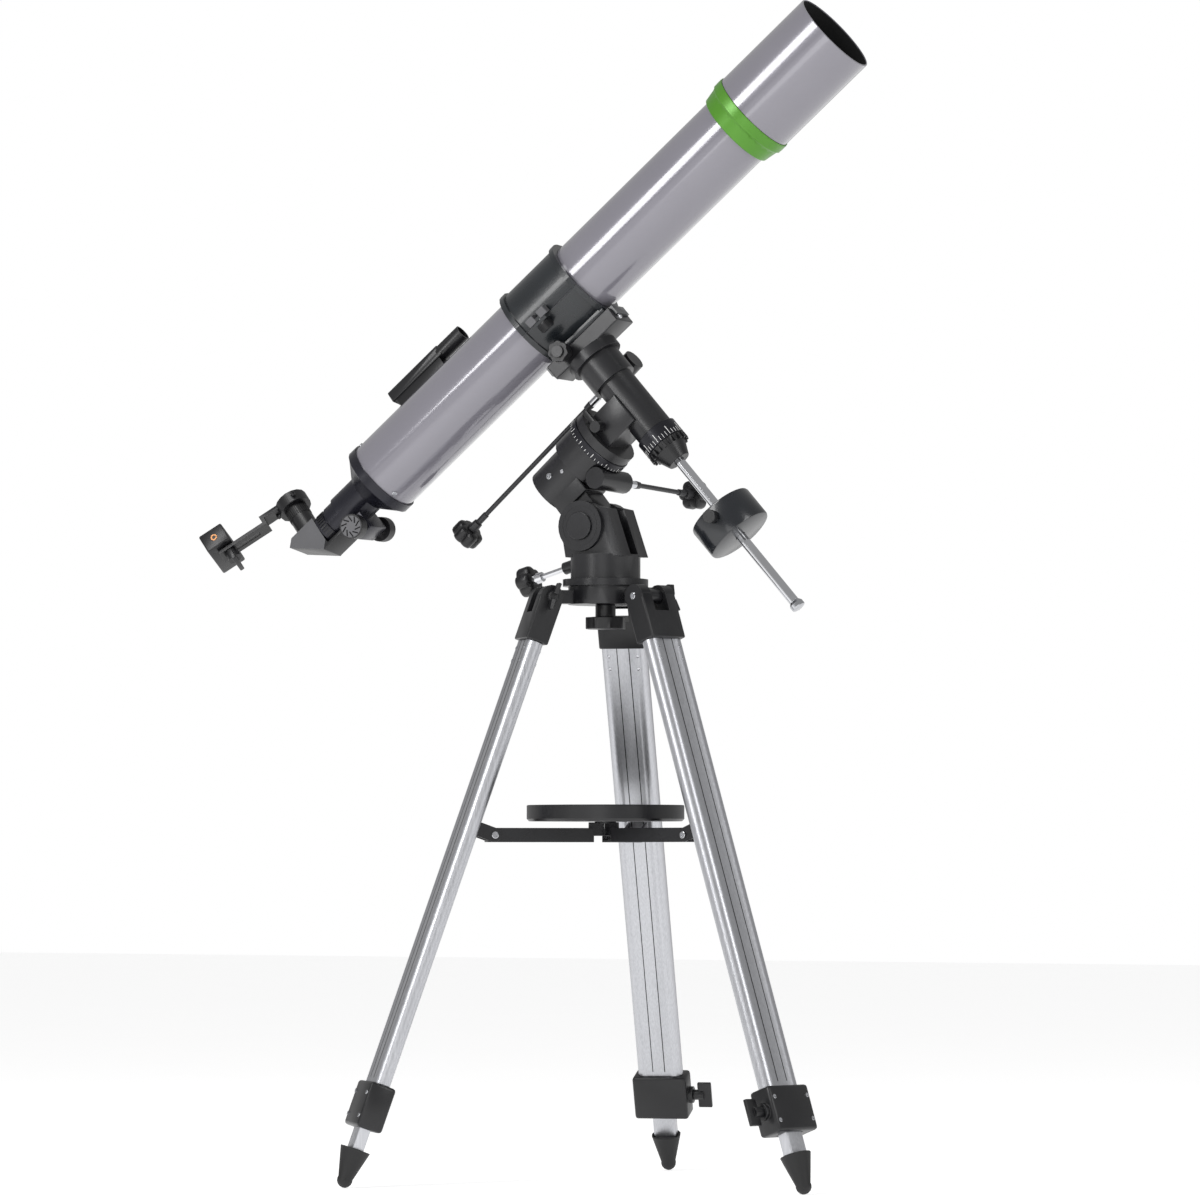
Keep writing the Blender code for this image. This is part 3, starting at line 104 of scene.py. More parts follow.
floor_material, floor_tree, floor_shader, floor_place = new_material("pale_studio_floor")
mottle = add_node(floor_tree, "ShaderNodeTexNoise", {"Scale": 3.0, "Detail": 2.0}, {"Vector": floor_place})
floor_greys = {"data_type": "RGBA", 6: linear("F4F4F4"), 7: linear("F8F8F8")}
tone = add_node(floor_tree, "ShaderNodeMix", floor_greys)
floor_tree.links.new(mottle.outputs["Fac"], tone.inputs["Factor"])
floor_tree.links.new(tone.outputs[2], floor_shader.inputs["Base Color"])
floor_shader.inputs["Roughness"].default_value = 0.7
floor_shader.inputs["Emission Color"].default_value = linear("FFFFFF")
floor_shader.inputs["Emission Strength"].default_value = 0.55

floor_mesh = bpy.data.meshes.new("studio_floor")
floor_shape = bmesh.new()
bmesh.ops.create_grid(floor_shape, x_segments=4, y_segments=4, size=14.0)
floor_shape.to_mesh(floor_mesh)
floor_shape.free()
floor = bpy.data.objects.new("studio_floor", floor_mesh)
floor.data.materials.append(floor_material)
floor.location.z = -0.0005
bpy.context.scene.collection.objects.link(floor)

surround = bpy.data.worlds.new("white_surround")
surround.use_nodes = True
sky = surround.node_tree
seen = add_node(sky, "ShaderNodeLightPath").outputs["Is Camera Ray"]
# The backdrop is seen white, and gives the object half as much light, so that the blacks stay deep.
strength = add_node(sky, "ShaderNodeMapRange", {"To Min": 0.42, "To Max": 1.0}, {"Value": seen})
sky.nodes["Background"].inputs["Color"].default_value = linear("FFFFFF")
sky.links.new(strength.outputs["Result"], sky.nodes["Background"].inputs["Strength"])
bpy.context.scene.world = surround
bpy.context.scene.view_settings.view_transform = "Standard"


AIM_HEIGHT = 0.9


def soft_light(name, right, out, up, width, height, power):
    """A rectangular softbox, placed to the right of the tripod, out toward the camera, and up."""
    lamp = bpy.data.lights.new(name, "AREA")
    lamp.shape = "RECTANGLE"
    lamp.size = width
    lamp.size_y = height
    lamp.energy = power
    box_light = bpy.data.objects.new(name, lamp)
    box_light.location = tripod_axis + to_right * right - level_ahead * out + Vector((0, 0, up))
    aim = tripod_axis + Vector((0, 0, AIM_HEIGHT)) - box_light.location
    box_light.rotation_euler = aim.to_track_quat("-Z", "Y").to_euler()
    bpy.context.scene.collection.objects.link(box_light)


soft_light("strip_left", -1.6, 1.5, 2.3, 0.62, 2.8, 48.0)
soft_light("key_right", 2.4, 2.2, 2.0, 1.0, 1.8, 26.0)
soft_light("low_fill", -0.6, 3.4, 0.5, 1.6, 1.0, 8.0)


# Tripod head. A black hammered-enamel casting with three lugs, and a nylon hand wheel under it that
# pulls the mount down by a steel centre bolt.
MM = 0.001


def patterned(name, dark, light, roughness, grain_mm, depth_mm, metallic=0.0, coat=0.0, cloud_mm=30.0):
    """A surface with cloudy colour and gloss and a fine bump, whose grain is given in millimetres."""
    material, tree, shader, place = new_material(name)
    cloud_look = {"Scale": 1000 / cloud_mm, "Detail": 3.0}
    clouds = add_node(tree, "ShaderNodeTexNoise", cloud_look, {"Vector": place})
    colour = add_node(
        tree, "ShaderNodeMix", {"data_type": "RGBA", 6: linear(dark), 7: linear(light)},
        {"Factor": clouds.outputs["Fac"]},
    )
    tree.links.new(colour.outputs[2], shader.inputs["Base Color"])
    gloss = add_node(
        tree, "ShaderNodeMapRange", {"To Min": roughness - 0.05, "To Max": roughness + 0.06},
        {"Value": clouds.outputs["Fac"]},
    )
    tree.links.new(gloss.outputs["Result"], shader.inputs["Roughness"])
    grain = add_node(tree, "ShaderNodeTexNoise", {"Scale": 1000 / grain_mm, "Detail": 1.0}, {"Vector": place})
    bump = add_node(
        tree, "ShaderNodeBump", {"Strength": 0.5, "Distance": depth_mm * MM}, {"Height": grain.outputs["Fac"]}
    )
    tree.links.new(bump.outputs["Normal"], shader.inputs["Normal"])
    shader.inputs["Metallic"].default_value = metallic
    shader.inputs["Coat Weight"].default_value = coat
    shader.inputs["Coat Roughness"].default_value = 0.06
    return material


# Hammered enamel shows a soft orange peel about 2 mm across and broad, slightly broken highlights.
hammered_enamel = patterned("hammered_black_enamel", "131315", "1B1B1E", 0.28, 2.2, 0.10)
# Injection-moulded nylon has a spark-eroded grain: dark, with soft grey highlights on its edges.
moulded_nylon = patterned("moulded_black_nylon", "0D0D0F", "141417", 0.36, 0.8, 0.03)
# Nickel-plated steel mirrors the room, a little hazy from polishing.
nickel_steel = patterned("nickel_plated_steel", "B4B5B8", "C4C5C9", 0.16, 1.5, 0.004, 1.0)


def placed(name, mesh, material, body, edge_mm=0.4, angle=33.0, replaces=(), slot=None):
    """A finished piece of a mesh already in its place: edges marked and eased, and riding on its body."""
    mesh.materials.clear()
    mesh.materials.append(material)
    mesh.shade_smooth()
    mesh.set_sharp_from_angle(angle=math.radians(angle))
    piece = bpy.data.objects.new(name, mesh)
    bpy.context.scene.collection.objects.link(piece)
    if edge_mm:
        eased = piece.modifiers.new("eased_edges", "BEVEL")
        eased.width = edge_mm * MM
        eased.segments = 2
        eased.angle_limit = math.radians(angle)
    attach(piece, body)
    if replaces:
        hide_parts(*replaces)
    return piece


slot_of_node = {p["node"]: p["material_slot"] for p in frame["record"]["subparts"]}


def dressed(node, material, edge_mm=0.6, angle=33.0):
    """A CAD piece with its flat faces merged, its round faces smooth and its edges eased."""
    shape = bmesh.new()
    shape.from_mesh(frame["nodes"][node].data)
    bmesh.ops.remove_doubles(shape, verts=shape.verts, dist=0.02 * MM)
    bmesh.ops.dissolve_limit(shape, angle_limit=math.radians(1.0), verts=shape.verts, edges=shape.edges)
    mesh = bpy.data.meshes.new(node + "_surface")
    shape.to_mesh(mesh)
    shape.free()
    name, body = node + "_surface", body_of_node[node]
    return placed(name, mesh, material, body, edge_mm, angle, (node,), slot_of_node[node])


def axis_place(origin, along, up):
    """The matrix that takes local X along an axis and local Z as near as it can to another."""
    x = Vector(along).normalized()
    y = Vector(up).cross(x).normalized()
    return Matrix.Translation(origin) @ Matrix((x, y, x.cross(y))).transposed().to_4x4()


def turned(name, profile, place, material, body, sides=96, edge_mm=0.0, **kept):
    """A lathe shape from (distance along X, radius) points in metres, closed where the radius is nothing."""
    shape = bmesh.new()
    rings = []
    for x, radius in profile:
        count = sides if radius else 1
        turns = [2 * math.pi * i / count for i in range(count)]
        rings.append([shape.verts.new((x, radius * math.cos(t), radius * math.sin(t))) for t in turns])
    for near, far in zip(rings, rings[1:]):
        for i in range(sides):
            corners = [near[i % len(near)], near[(i + 1) % len(near)]]
            corners += [far[(i + 1) % len(far)], far[i % len(far)]]
            shape.faces.new(list(dict.fromkeys(corners)))
    if profile[0] == profile[-1]:
        bmesh.ops.remove_doubles(shape, verts=shape.verts, dist=0.001 * MM)
    bmesh.ops.recalc_face_normals(shape, faces=shape.faces)
    shape.transform(place)
    mesh = bpy.data.meshes.new(name)
    shape.to_mesh(mesh)
    shape.free()
    return placed(name, mesh, material, body, edge_mm, 28.0, **kept)


def screw_head(name, centre, outward, radius, height, body, material=nickel_steel, hollow=0.5):
    """A cap screw: a short round head with a socket in its face."""
    well = radius * hollow
    profile = [(0, 0), (0, radius), (height * 0.8, radius), (height, radius * 0.86), (height, well)]
    profile += [(height * 0.4, well * 0.94), (height * 0.4, 0)]
    side = Vector((0, 0, 1)) if abs(Vector(outward).normalized().z) < 0.9 else Vector((1, 0, 0))
    return turned(name, profile, axis_place(centre, outward, side), material, body, 24, 0.0)


dressed("tripod_hub", hammered_enamel, 0.9)
dressed("mount_bolt", moulded_nylon, 0.8)


# Legs. Each is two extruded aluminium rails joined by a web, satin anodised, under a moulded nylon
# clevis that turns on a bolt through the hub's lug. A flat extension slides out between the rails.
LINE_STRETCH = 0.02


def drawn_metal(name, dark, light, roughness, along, line_mm):
    """Extruded or drawn metal, with faint lines along its length that stretch the highlight across."""
    material, tree, shader, place = new_material(name)
    scale = [1.0 / (line_mm * MM)] * 3
    stretched = [LINE_STRETCH * s if a else s for s, a in zip(scale, along)]
    flat = add_node(tree, "ShaderNodeMapping", {"Scale": stretched}, {"Vector": place})
    drawn = flat.outputs["Vector"]
    lines = add_node(tree, "ShaderNodeTexNoise", {"Scale": 1.0, "Detail": 2.0}, {"Vector": drawn})
    colour = add_node(
        tree, "ShaderNodeMix", {"data_type": "RGBA", 6: linear(dark), 7: linear(light)},
        {"Factor": lines.outputs["Fac"]},
    )
    tree.links.new(colour.outputs[2], shader.inputs["Base Color"])
    gloss = add_node(
        tree, "ShaderNodeMapRange", {"To Min": roughness - 0.06, "To Max": roughness + 0.08},
        {"Value": lines.outputs["Fac"]},
    )
    tree.links.new(gloss.outputs["Result"], shader.inputs["Roughness"])
    shader.inputs["Metallic"].default_value = 1.0
    return material


satin_rails = drawn_metal("satin_anodised_extrusion", "A9AAAE", "CFD0D4", 0.36, (0, 0, 1), 1.4)
boot_rubber = patterned("moulded_rubber", "0E0E0F", "161617", 0.58, 0.9, 0.05)
RIVET_SIDE = 0.019
CLAMP_SCREW_SIDE = 0.0295
CLAMP_FACE = 0.0168
CLEVIS_FACE = 0.0298
NUT_FACE = 0.0301
BRACKET_DEPTH = 0.0113
RAIL_RADIUS = 0.011
LEG_HALF_WIDTH = 0.030
RAIL_TOP = 0.052
RAIL_END = 0.649
for number in (1, 2, 3):
    fold = joint[f"leg_{number}_fold"]
    down = Vector(joint[f"leg_{number}_extend"]["axis"])
    across = Vector(fold["axis"])
    out = across.cross(down).normalized()
    if out.dot(Vector(fold["pos_m"]) - tripod_axis - Vector((0, 0, fold["pos_m"][2]))) < 0:
        out = -out
    pivot = Vector(fold["pos_m"])
    leg, yoke = f"leg_{number}", f"leg_yoke_{number}"
    dressed(yoke, moulded_nylon, 0.9)
    dressed(f"outer_leg_{number}", satin_rails, 0.5)
    dressed(f"leg_clamp_{number}", moulded_nylon, 0.9)
    dressed(f"leg_lock_screw_{number}", moulded_nylon, 0.6)
    dressed(f"inner_leg_{number}", satin_rails, 0.6)
    dressed(f"foot_{number}", boot_rubber, 0.8)
    # The brackets that hold the spreader arms are black painted steel on the inner face of the leg.
    extrusion = bpy.data.objects[f"outer_leg_{number}_surface"].data
    extrusion.materials.append(hammered_enamel)
    for face in extrusion.polygons:
        if (face.center - pivot).dot(out) < -BRACKET_DEPTH:
            face.material_index = 1
    # Dark strips run down both broad faces, beside each rail, where the seams are: painted shade for the shadow in
    # those grooves.
    groove_shade = bmesh.new()
    for side in (-1, 1):
        for face_side in (-1, 1):
            lies = axis_place(
                pivot + down * (RAIL_TOP + RAIL_END) / 2 + across * side * (LEG_HALF_WIDTH - 2 * RAIL_RADIUS)
                + out * face_side * 0.0099, down, out,
            )
            strip = bmesh.ops.create_cube(groove_shade, size=1.0)["verts"]
            bmesh.ops.scale(groove_shade, vec=(RAIL_END - RAIL_TOP - 0.012, 0.0011, 0.0006), verts=strip)
            bmesh.ops.transform(groove_shade, matrix=lies, verts=strip)
    groove_shade_mesh = bpy.data.meshes.new(f"rail_groove_shade_{number}")
    groove_shade.to_mesh(groove_shade_mesh)
    groove_shade.free()
    placed(f"rail_groove_shade_{number}", groove_shade_mesh, moulded_nylon, leg, 0.0)
    # Two pop rivets through each rail hold the clevis, and two screws close the clamp.
    for side in (-1, 1):
        for place, name in ((0.071, "upper"), (0.088, "lower")):
            for face_side, face_name in ((-1, "inner"), (1, "outer")):
                rivet = pivot + down * place + across * side * RIVET_SIDE
                rivet += out * face_side * (RAIL_RADIUS - 0.0001)
                which = "near" if side < 0 else "far"
                label = f"{name}_{face_name}_{which}_rivet_{number}"
                screw_head(label, rivet, out * face_side, 0.0021, 0.0006, leg)
        for place, name in ((0.664, "upper"), (0.694, "lower")):
            clamp_face = pivot + down * place + across * side * CLAMP_SCREW_SIDE + out * CLAMP_FACE
            which = "near" if side < 0 else "far"
            screw_head(f"{name}_{which}_clamp_screw_{number}", clamp_face, out, 0.0028, 0.0012, leg)
    # A socket screw shows on one side of the clevis and a moulded wing nut on the other.
    toward_camera = -1 if across.dot(to_right) > 0 else 1
    bolt = pivot + across * toward_camera * CLEVIS_FACE
    screw_head(f"clevis_bolt_{number}", bolt, across * toward_camera, 0.0044, 0.0022, leg)
    nut_outward = -across * toward_camera
    nut_place = axis_place(pivot + nut_outward * NUT_FACE, nut_outward, down)
    boss = [(0, 0), (0, 0.0080), (0.006, 0.0072), (0.0085, 0.0060), (0.0085, 0)]
    turned(f"clevis_nut_boss_{number}", boss, nut_place, moulded_nylon, leg, 32, 0.5)
    wings = bmesh.new()
    for side in (-1, 1):
        wing = bmesh.ops.create_cube(wings, size=1.0)["verts"]
        for corner in wing:
            far_end = corner.co.z * side > 0
            corner.co = Vector((
                0.0085 + corner.co.x * 0.012 + (0.004 if far_end else 0.0),
                corner.co.y * (0.0042 if far_end else 0.0060),
                side * (0.0175 if far_end else 0.003),
            ))
    bmesh.ops.recalc_face_normals(wings, faces=wings.faces)
    wings.transform(nut_place)
    wing_mesh = bpy.data.meshes.new(f"clevis_nut_wings_{number}")
    wings.to_mesh(wing_mesh)
    wings.free()
    placed(f"clevis_nut_wings_{number}", wing_mesh, moulded_nylon, leg, 0.9)


# Geometry Nodes tree for what repeats round an axis: teeth, ribs, ticks and slots. Each is a small
# block standing on a circle and turned to face outward.
def repeating_tree():
    """Blocks of one size on a circle, each turned to face outward."""
    tree = bpy.data.node_groups.new("blocks_round_an_axis", "GeometryNodeTree")
    inputs = (("Int", "Count"), ("Float", "Radius"), ("Vector", "Block Size"))
    for kind, name in (*inputs, ("Float", "Slant"), ("Material", "Finish")):
        tree.interface.new_socket(name, in_out="INPUT", socket_type=f"NodeSocket{kind}")
    tree.interface.new_socket("Geometry", in_out="OUTPUT", socket_type="NodeSocketGeometry")
    given = tree.nodes.new("NodeGroupInput").outputs
    made = tree.nodes.new("NodeGroupOutput")
    circle_links = {"Vertices": given["Count"], "Radius": given["Radius"]}
    circle = add_node(tree, "GeometryNodeMeshCircle", {}, circle_links)
    block = add_node(tree, "GeometryNodeMeshCube", {}, {"Size": given["Block Size"]})
    step = add_node(tree, "ShaderNodeMath", {"operation": "DIVIDE", 0: 2 * math.pi}, {1: given["Count"]})
    number = add_node(tree, "GeometryNodeInputIndex")
    factors = {0: number.outputs[0], 1: step.outputs[0]}
    angle = add_node(tree, "ShaderNodeMath", {"operation": "MULTIPLY"}, factors)
    spun = add_node(tree, "ShaderNodeMath", {"operation": "ADD"}, {0: angle.outputs[0], 1: given["Slant"]})
    turn = add_node(tree, "ShaderNodeCombineXYZ", {}, {"Z": spun.outputs[0]})
    copies = add_node(
        tree, "GeometryNodeInstanceOnPoints", {},
        {"Points": circle.outputs["Mesh"], "Instance": block.outputs["Mesh"], "Rotation": turn.outputs[0]},
    )
    real = add_node(tree, "GeometryNodeRealizeInstances", {}, {"Geometry": copies.outputs[0]})
    finish_links = {"Geometry": real.outputs[0], "Material": given["Finish"]}
    coloured = add_node(tree, "GeometryNodeSetMaterial", {}, finish_links)
    tree.links.new(coloured.outputs[0], made.inputs[0])
    return tree


blocks_round_an_axis = repeating_tree()
socket_id = {s.name: s.identifier for s in blocks_round_an_axis.interface.items_tree if s.in_out == "INPUT"}


def round_blocks(name, place, count, radius, size, material, body, slant=0.0, edge_mm=0.0):
    """Blocks on a circle. In the given place, X is the circle's axis. Size is (outward, round, along)."""
    carrier = bpy.data.objects.new(name + "_tree", bpy.data.meshes.new(name + "_tree"))
    bpy.context.scene.collection.objects.link(carrier)
    made = carrier.modifiers.new("repeat", "NODES")
    made.node_group = blocks_round_an_axis
    sizes = (("Count", count), ("Radius", radius), ("Block Size", size))
    for label, value in (*sizes, ("Slant", slant), ("Finish", material)):
        made[socket_id[label]] = value
    bpy.context.view_layer.update()
    mesh = bpy.data.meshes.new_from_object(carrier.evaluated_get(bpy.context.evaluated_depsgraph_get()))
    bpy.data.objects.remove(carrier)
    mesh.name = name
    mesh.transform(place @ Matrix(((0, 0, 1), (1, 0, 0), (0, 1, 0))).to_4x4())
    return placed(name, mesh, material, body, edge_mm)


def reach(node, origin, along):
    """Where a CAD piece starts and ends along an axis, and the farthest it stands from it."""
    axis = Vector(along).normalized()
    offsets = [v.co - Vector(origin) for v in frame["nodes"][node].data.vertices]
    heights = [o.dot(axis) for o in offsets]
    return min(heights), max(heights), max((o - axis * h).length for o, h in zip(offsets, heights))


# Spreader and tray. Three black painted steel channels, bolted to the legs, carry a round moulded
# dish on a small plate.
UP = Vector((0, 0, 1))
ARM_BOLT_SIDE = 0.0135
for number in (1, 2, 3):
    arm, hinge = f"spreader_arm_{number}", joint[f"spreader_{number}_fold"]
    dressed(arm, hammered_enamel, 0.4)
    for side, which in ((-1, "near"), (1, "far")):
        outward = Vector(hinge["axis"]) * side
        head = Vector(hinge["pos_m"]) + outward * ARM_BOLT_SIDE
        screw_head(f"{which}_arm_bolt_{number}", head, outward, 0.0045, 0.002, f"leg_{number}")
dressed("spreader_plate", hammered_enamel, 0.4)
tray_low, tray_high, tray_radius = reach("accessory_tray", tripod_axis, UP)
tray_place = axis_place(tripod_axis, UP, (1, 0, 0))
dish = [(tray_low, 0), (tray_low, tray_radius - 0.003), (tray_low + 0.003, tray_radius * 0.999)]
dish += [(tray_high - 0.001, tray_radius * 0.999), (tray_high, tray_radius - 0.001)]
dish.append((tray_high, tray_radius - 0.002))
dish += [(tray_high - 0.001, tray_radius - 0.0028), (tray_low + 0.0045, tray_radius - 0.003)]
dish += [(tray_low + 0.0025, tray_radius - 0.005), (tray_low + 0.0025, 0)]
turned(
    "accessory_dish", dish, tray_place, moulded_nylon, "tray",
    replaces=("accessory_tray",), slot="black_plastic",
)
rib_seat = tray_place @ Matrix.Translation((tray_low + 0.0027, 0, 0))
round_blocks("dish_floor_ribs", rib_seat, 12, 0.050, (0.080, 0.0016, 0.0012), moulded_nylon, "tray")


# Azimuth base and latitude yoke. A sand-cast alloy fork in black enamel turns on the tripod head. The
# latitude screw, chrome with a star knob, pushes the polar housing round the pivot between its cheeks.
cast_enamel = patterned("enamelled_sand_casting", "151517", "1E1E21", 0.31, 1.2, 0.05)
dressed("azimuth_yoke", cast_enamel, 0.9)
dressed("latitude_pivot", cast_enamel, 0.7)
latitude = joint["latitude_tilt"]
pivot_axis = Vector((0, -1, 0))
BOSS_FACE = 0.0381
# A fine ring of darker nylon stands on each boss, round the pivot's cap: painted shade that reads as a turned
# groove.
for outward, name in ((pivot_axis, "near_boss_groove"), (-pivot_axis, "far_boss_groove")):
    ring = [(-0.0002, 0.0255), (0.00015, 0.0255), (0.00015, 0.0249), (-0.0002, 0.0249), (-0.0002, 0.0255)]
    place = axis_place(Vector(latitude["pos_m"]) + outward * BOSS_FACE, outward, UP)
    turned(name, ring, place, moulded_nylon, "azimuth_head")


def shaft_and_knob(node, joint_name, knob_radius, rod_radius, body, rod_material, knob_material, lobes):
    """A control rod in its finish, and a moulded knob with rounded lobes on the end of it."""
    turning = joint[joint_name]
    axis = Vector(turning["axis"])
    origin = Vector(turning["pos_m"])
    low, high = reach(node, origin, axis)[:2]
    if abs(low) > abs(high):
        axis, low, high = -axis, -high, -low
    side = UP if abs(axis.z) < 0.9 else Vector((1, 0, 0))
    place = axis_place(origin, axis, side)
    knob_start = high - knob_radius * 1.05
    lobed = bmesh.new()
    outline_count = lobes * 10
    levels = [(0.0, 0.80), (0.1, 0.95), (0.25, 1.0), (0.8, 1.0), (0.93, 0.95), (1.0, 0.82)]
    rings = []
    for along, scale in levels:
        ring = []
        for i in range(outline_count):
            t = 2 * math.pi * i / outline_count
            wave = 0.5 + 0.5 * math.cos(lobes * t)
            r = knob_radius * (0.79 + 0.21 * wave ** 0.45) * scale
            x = knob_start + along * (high - knob_start)
            ring.append(lobed.verts.new((x, r * math.cos(t), r * math.sin(t))))
        rings.append(ring)
    for near, far in zip(rings, rings[1:]):
        for i in range(outline_count):
            n = (i + 1) % outline_count
            lobed.faces.new((near[i], near[n], far[n], far[i]))
    for ring, x in ((rings[0], knob_start), (rings[-1], high)):
        inner = [lobed.verts.new((x, v.co.y * 0.55, v.co.z * 0.55)) for v in ring]
        dish = 0.0012 if x == high else -0.0006
        centre = lobed.verts.new((x - dish, 0, 0))
        for i in range(outline_count):
            n = (i + 1) % outline_count
            lobed.faces.new((ring[i], ring[n], inner[n], inner[i]))
            lobed.faces.new((inner[i], inner[n], centre))
    bmesh.ops.recalc_face_normals(lobed, faces=lobed.faces)
    lobed.transform(place)
    mesh = bpy.data.meshes.new(node + "_knob")
    lobed.to_mesh(mesh)
    lobed.free()
    placed(node + "_knob", mesh, knob_material, body, 0.0, 50.0, (node,), slot_of_node[node])
    boss = [(knob_start - 0.012, rod_radius * 1.9), (knob_start + 0.002, rod_radius * 2.3)]
    rod = [(low, 0), (low, rod_radius), (knob_start - 0.0121, rod_radius), *boss, (knob_start + 0.002, 0)]
    turned(node + "_rod", rod, place, rod_material, body, 32, 0.2)
    return place, knob_start


chrome = patterned("polished_chrome_plate", "C8C9CC", "D6D7DA", 0.09, 2.0, 0.002, 1.0)
shaft_and_knob(
    "latitude_screw", "latitude_screw_turn", 0.0196, 0.0034, "latitude_screw", chrome, moulded_nylon, 5
)


# Polar housing. The casting in which the polar shaft turns, with the right ascension setting circle
# round its upper end. The circle is black anodised, with its hours cut white in the rim.
black_anodised = patterned("black_anodised_aluminium", "17171C", "1E1E25", 0.30, 0.6, 0.01, 0.4)
white_filled = patterned("white_filled_engraving", "D4D4D2", "E2E2E0", 0.5, 1.0, 0.01)
dressed("polar_housing", cast_enamel, 0.8)


def setting_circle(node, joint_name, body, ticks, long_every, bevel):
    """A graduated ring: a turned rim, fine ticks round it and a longer one at each main division."""
    turning = joint[joint_name]
    origin, axis = Vector(turning["pos_m"]), Vector(turning["axis"])
    low, high, radius = reach(node, origin, axis)
    place = axis_place(origin, axis, (0, 1, 0))
    offsets = [v.co - origin for v in frame["nodes"][node].data.vertices]
    inner = min((o - axis * o.dot(axis)).length for o in offsets)
    rim = [(low, inner), (low, radius - bevel), (low + bevel, radius), (high - bevel, radius)]
    rim += [(high, radius - bevel), (high, inner), (low, inner)]
    turned(node + "_rim", rim, place, black_anodised, body, 120, replaces=(node,), slot=slot_of_node[node])
    length = (high - low) - 2 * bevel
    marks = (("ticks", ticks, 0.32, 0.0005), ("divisions", ticks // long_every, 0.62, 0.0008))
    for name, count, share, wide in marks:
        seat = place @ Matrix.Translation((low + bevel + length * share / 2 + 0.0002, 0, 0))
        size = (0.0004, wide, length * share)
        round_blocks(f"{node}_{name}", seat, count, radius, size, white_filled, body)


def on_surface(node, start, toward):
    """The point where a straight line from outside meets a CAD piece, and the way its face looks there."""
    mesh = frame["nodes"][node].data
    tree = BVHTree.FromPolygons([v.co for v in mesh.vertices], [list(f.vertices) for f in mesh.polygons])
    point, normal, _, _ = tree.ray_cast(Vector(start), Vector(toward))
    return point, normal


# The worm's seat is locked by a socket screw on each side of the housing, and the worm's own
# housing has a smaller adjusting screw below it.
polar_axis = Vector(joint["right_ascension_turn"]["axis"])
polar_origin = Vector(joint["right_ascension_turn"]["pos_m"])
polar_up = polar_axis.cross(Vector((0, 1, 0))).normalized()
for along, rise, size, which in ((-0.138, 0.004, 0.0040, "seat"), (-0.120, -0.004, 0.0024, "adjusting")):
    for side, hand in ((-1, "near"), (1, "far")):
        start = polar_origin + polar_axis * along + polar_up * rise + Vector((0, side * 0.2, 0))
        point, normal = on_surface("polar_housing", start, (0, -side, 0))
        screw_head(f"{hand}_{which}_screw", point - normal * 0.0002, normal, size, size * 0.5, "polar_head")
setting_circle("ra_setting_circle", "ra_circle_turn", "ra_circle", 48, 4, 0.0008)
dressed("ra_lock_lever", moulded_nylon, 0.6)
rubber_sheath = patterned("vinyl_cable_sheath", "1F1F21", "29292C", 0.42, 1.2, 0.03)
for node, name, body in (
    ("ra_slow_motion", "ra_worm_turn", "ra_worm"), ("dec_slow_motion", "dec_worm_turn", "dec_worm"),
):
    place, knob_start = shaft_and_knob(node, name, 0.0197, 0.0031, body, rubber_sheath, moulded_nylon, 6)
    # A chrome coupling clamps the cable to the worm, and a ferrule closes its other end.
    coupling = 0.047 if node == "ra_slow_motion" else 0.045
    sleeve = [(coupling, 0), (coupling, 0.0048), (coupling + 0.014, 0.0048), (coupling + 0.014, 0)]
    turned(f"{node}_coupling", sleeve, place, chrome, body, 40, 0.4)
    crimp = [(coupling + 0.0142, 0), (coupling + 0.0142, 0.0052)]
    crimp += [(coupling + 0.024, 0.0045), (coupling + 0.024, 0)]
    turned(f"{node}_crimp", crimp, place, rubber_sheath, body, 40, 0.4)
    ferrule = [(knob_start - 0.028, 0), (knob_start - 0.028, 0.0042)]
    ferrule += [(knob_start - 0.014, 0.0042), (knob_start - 0.014, 0)]
    turned(f"{node}_ferrule", ferrule, place, rubber_sheath, body, 40, 0.4)


# Declination head. The casting that carries the tube turns on the polar shaft. The ribbed nut at its
# lower end holds the chrome counterweight bar, and a second setting circle sits above the nut.
dressed("ra_shaft", nickel_steel, 0.3)
dressed("dec_housing", cast_enamel, 0.8)
dressed("dec_shaft", nickel_steel, 0.3)
setting_circle("dec_setting_circle", "dec_circle_turn", "dec_circle", 36, 4, 0.0008)
dec_axis = Vector(joint["declination_turn"]["axis"])
dec_origin = Vector(joint["declination_turn"]["pos_m"])
dec_seat = axis_place(dec_origin, dec_axis, (0, 1, 0))
dressed("bar_nut", moulded_nylon, 0.5)
nut_high, nut_radius = reach("bar_nut", dec_origin, dec_axis)[1:]
round_blocks(
    "bar_nut_grips", dec_seat @ Matrix.Translation((nut_high - 0.0052, 0, 0)), 20, nut_radius - 0.0004,
    (0.0030, 0.0034, 0.0085), moulded_nylon, "telescope", edge_mm=0.4,
)
bar_low, bar_high, bar_radius = reach("counterweight_bar", dec_origin, dec_axis)
bar = [(bar_low, 0), (bar_low, bar_radius), (bar_high, bar_radius), (bar_high, 0)]
turned(
    "chrome_bar", bar, dec_seat, chrome, "telescope", 64, 0.4,
    replaces=("counterweight_bar",), slot="machined_steel",
)
cap_low, cap_high, cap_radius = reach("bar_end_cap", dec_origin, dec_axis)
cap = [(cap_low, 0), (cap_low, cap_radius * 0.62)]
cap += [(cap_low + 0.001, cap_radius * 0.94), (cap_low + 0.002, cap_radius)]
cap += [(cap_high - 0.003, cap_radius), (cap_high - 0.001, cap_radius * 0.86)]
cap += [(cap_high, cap_radius * 0.8), (cap_high, 0)]
turned(
    "bar_end_screw", cap, dec_seat, nickel_steel, "telescope", 48,
    replaces=("bar_end_cap",), slot="machined_steel",
)


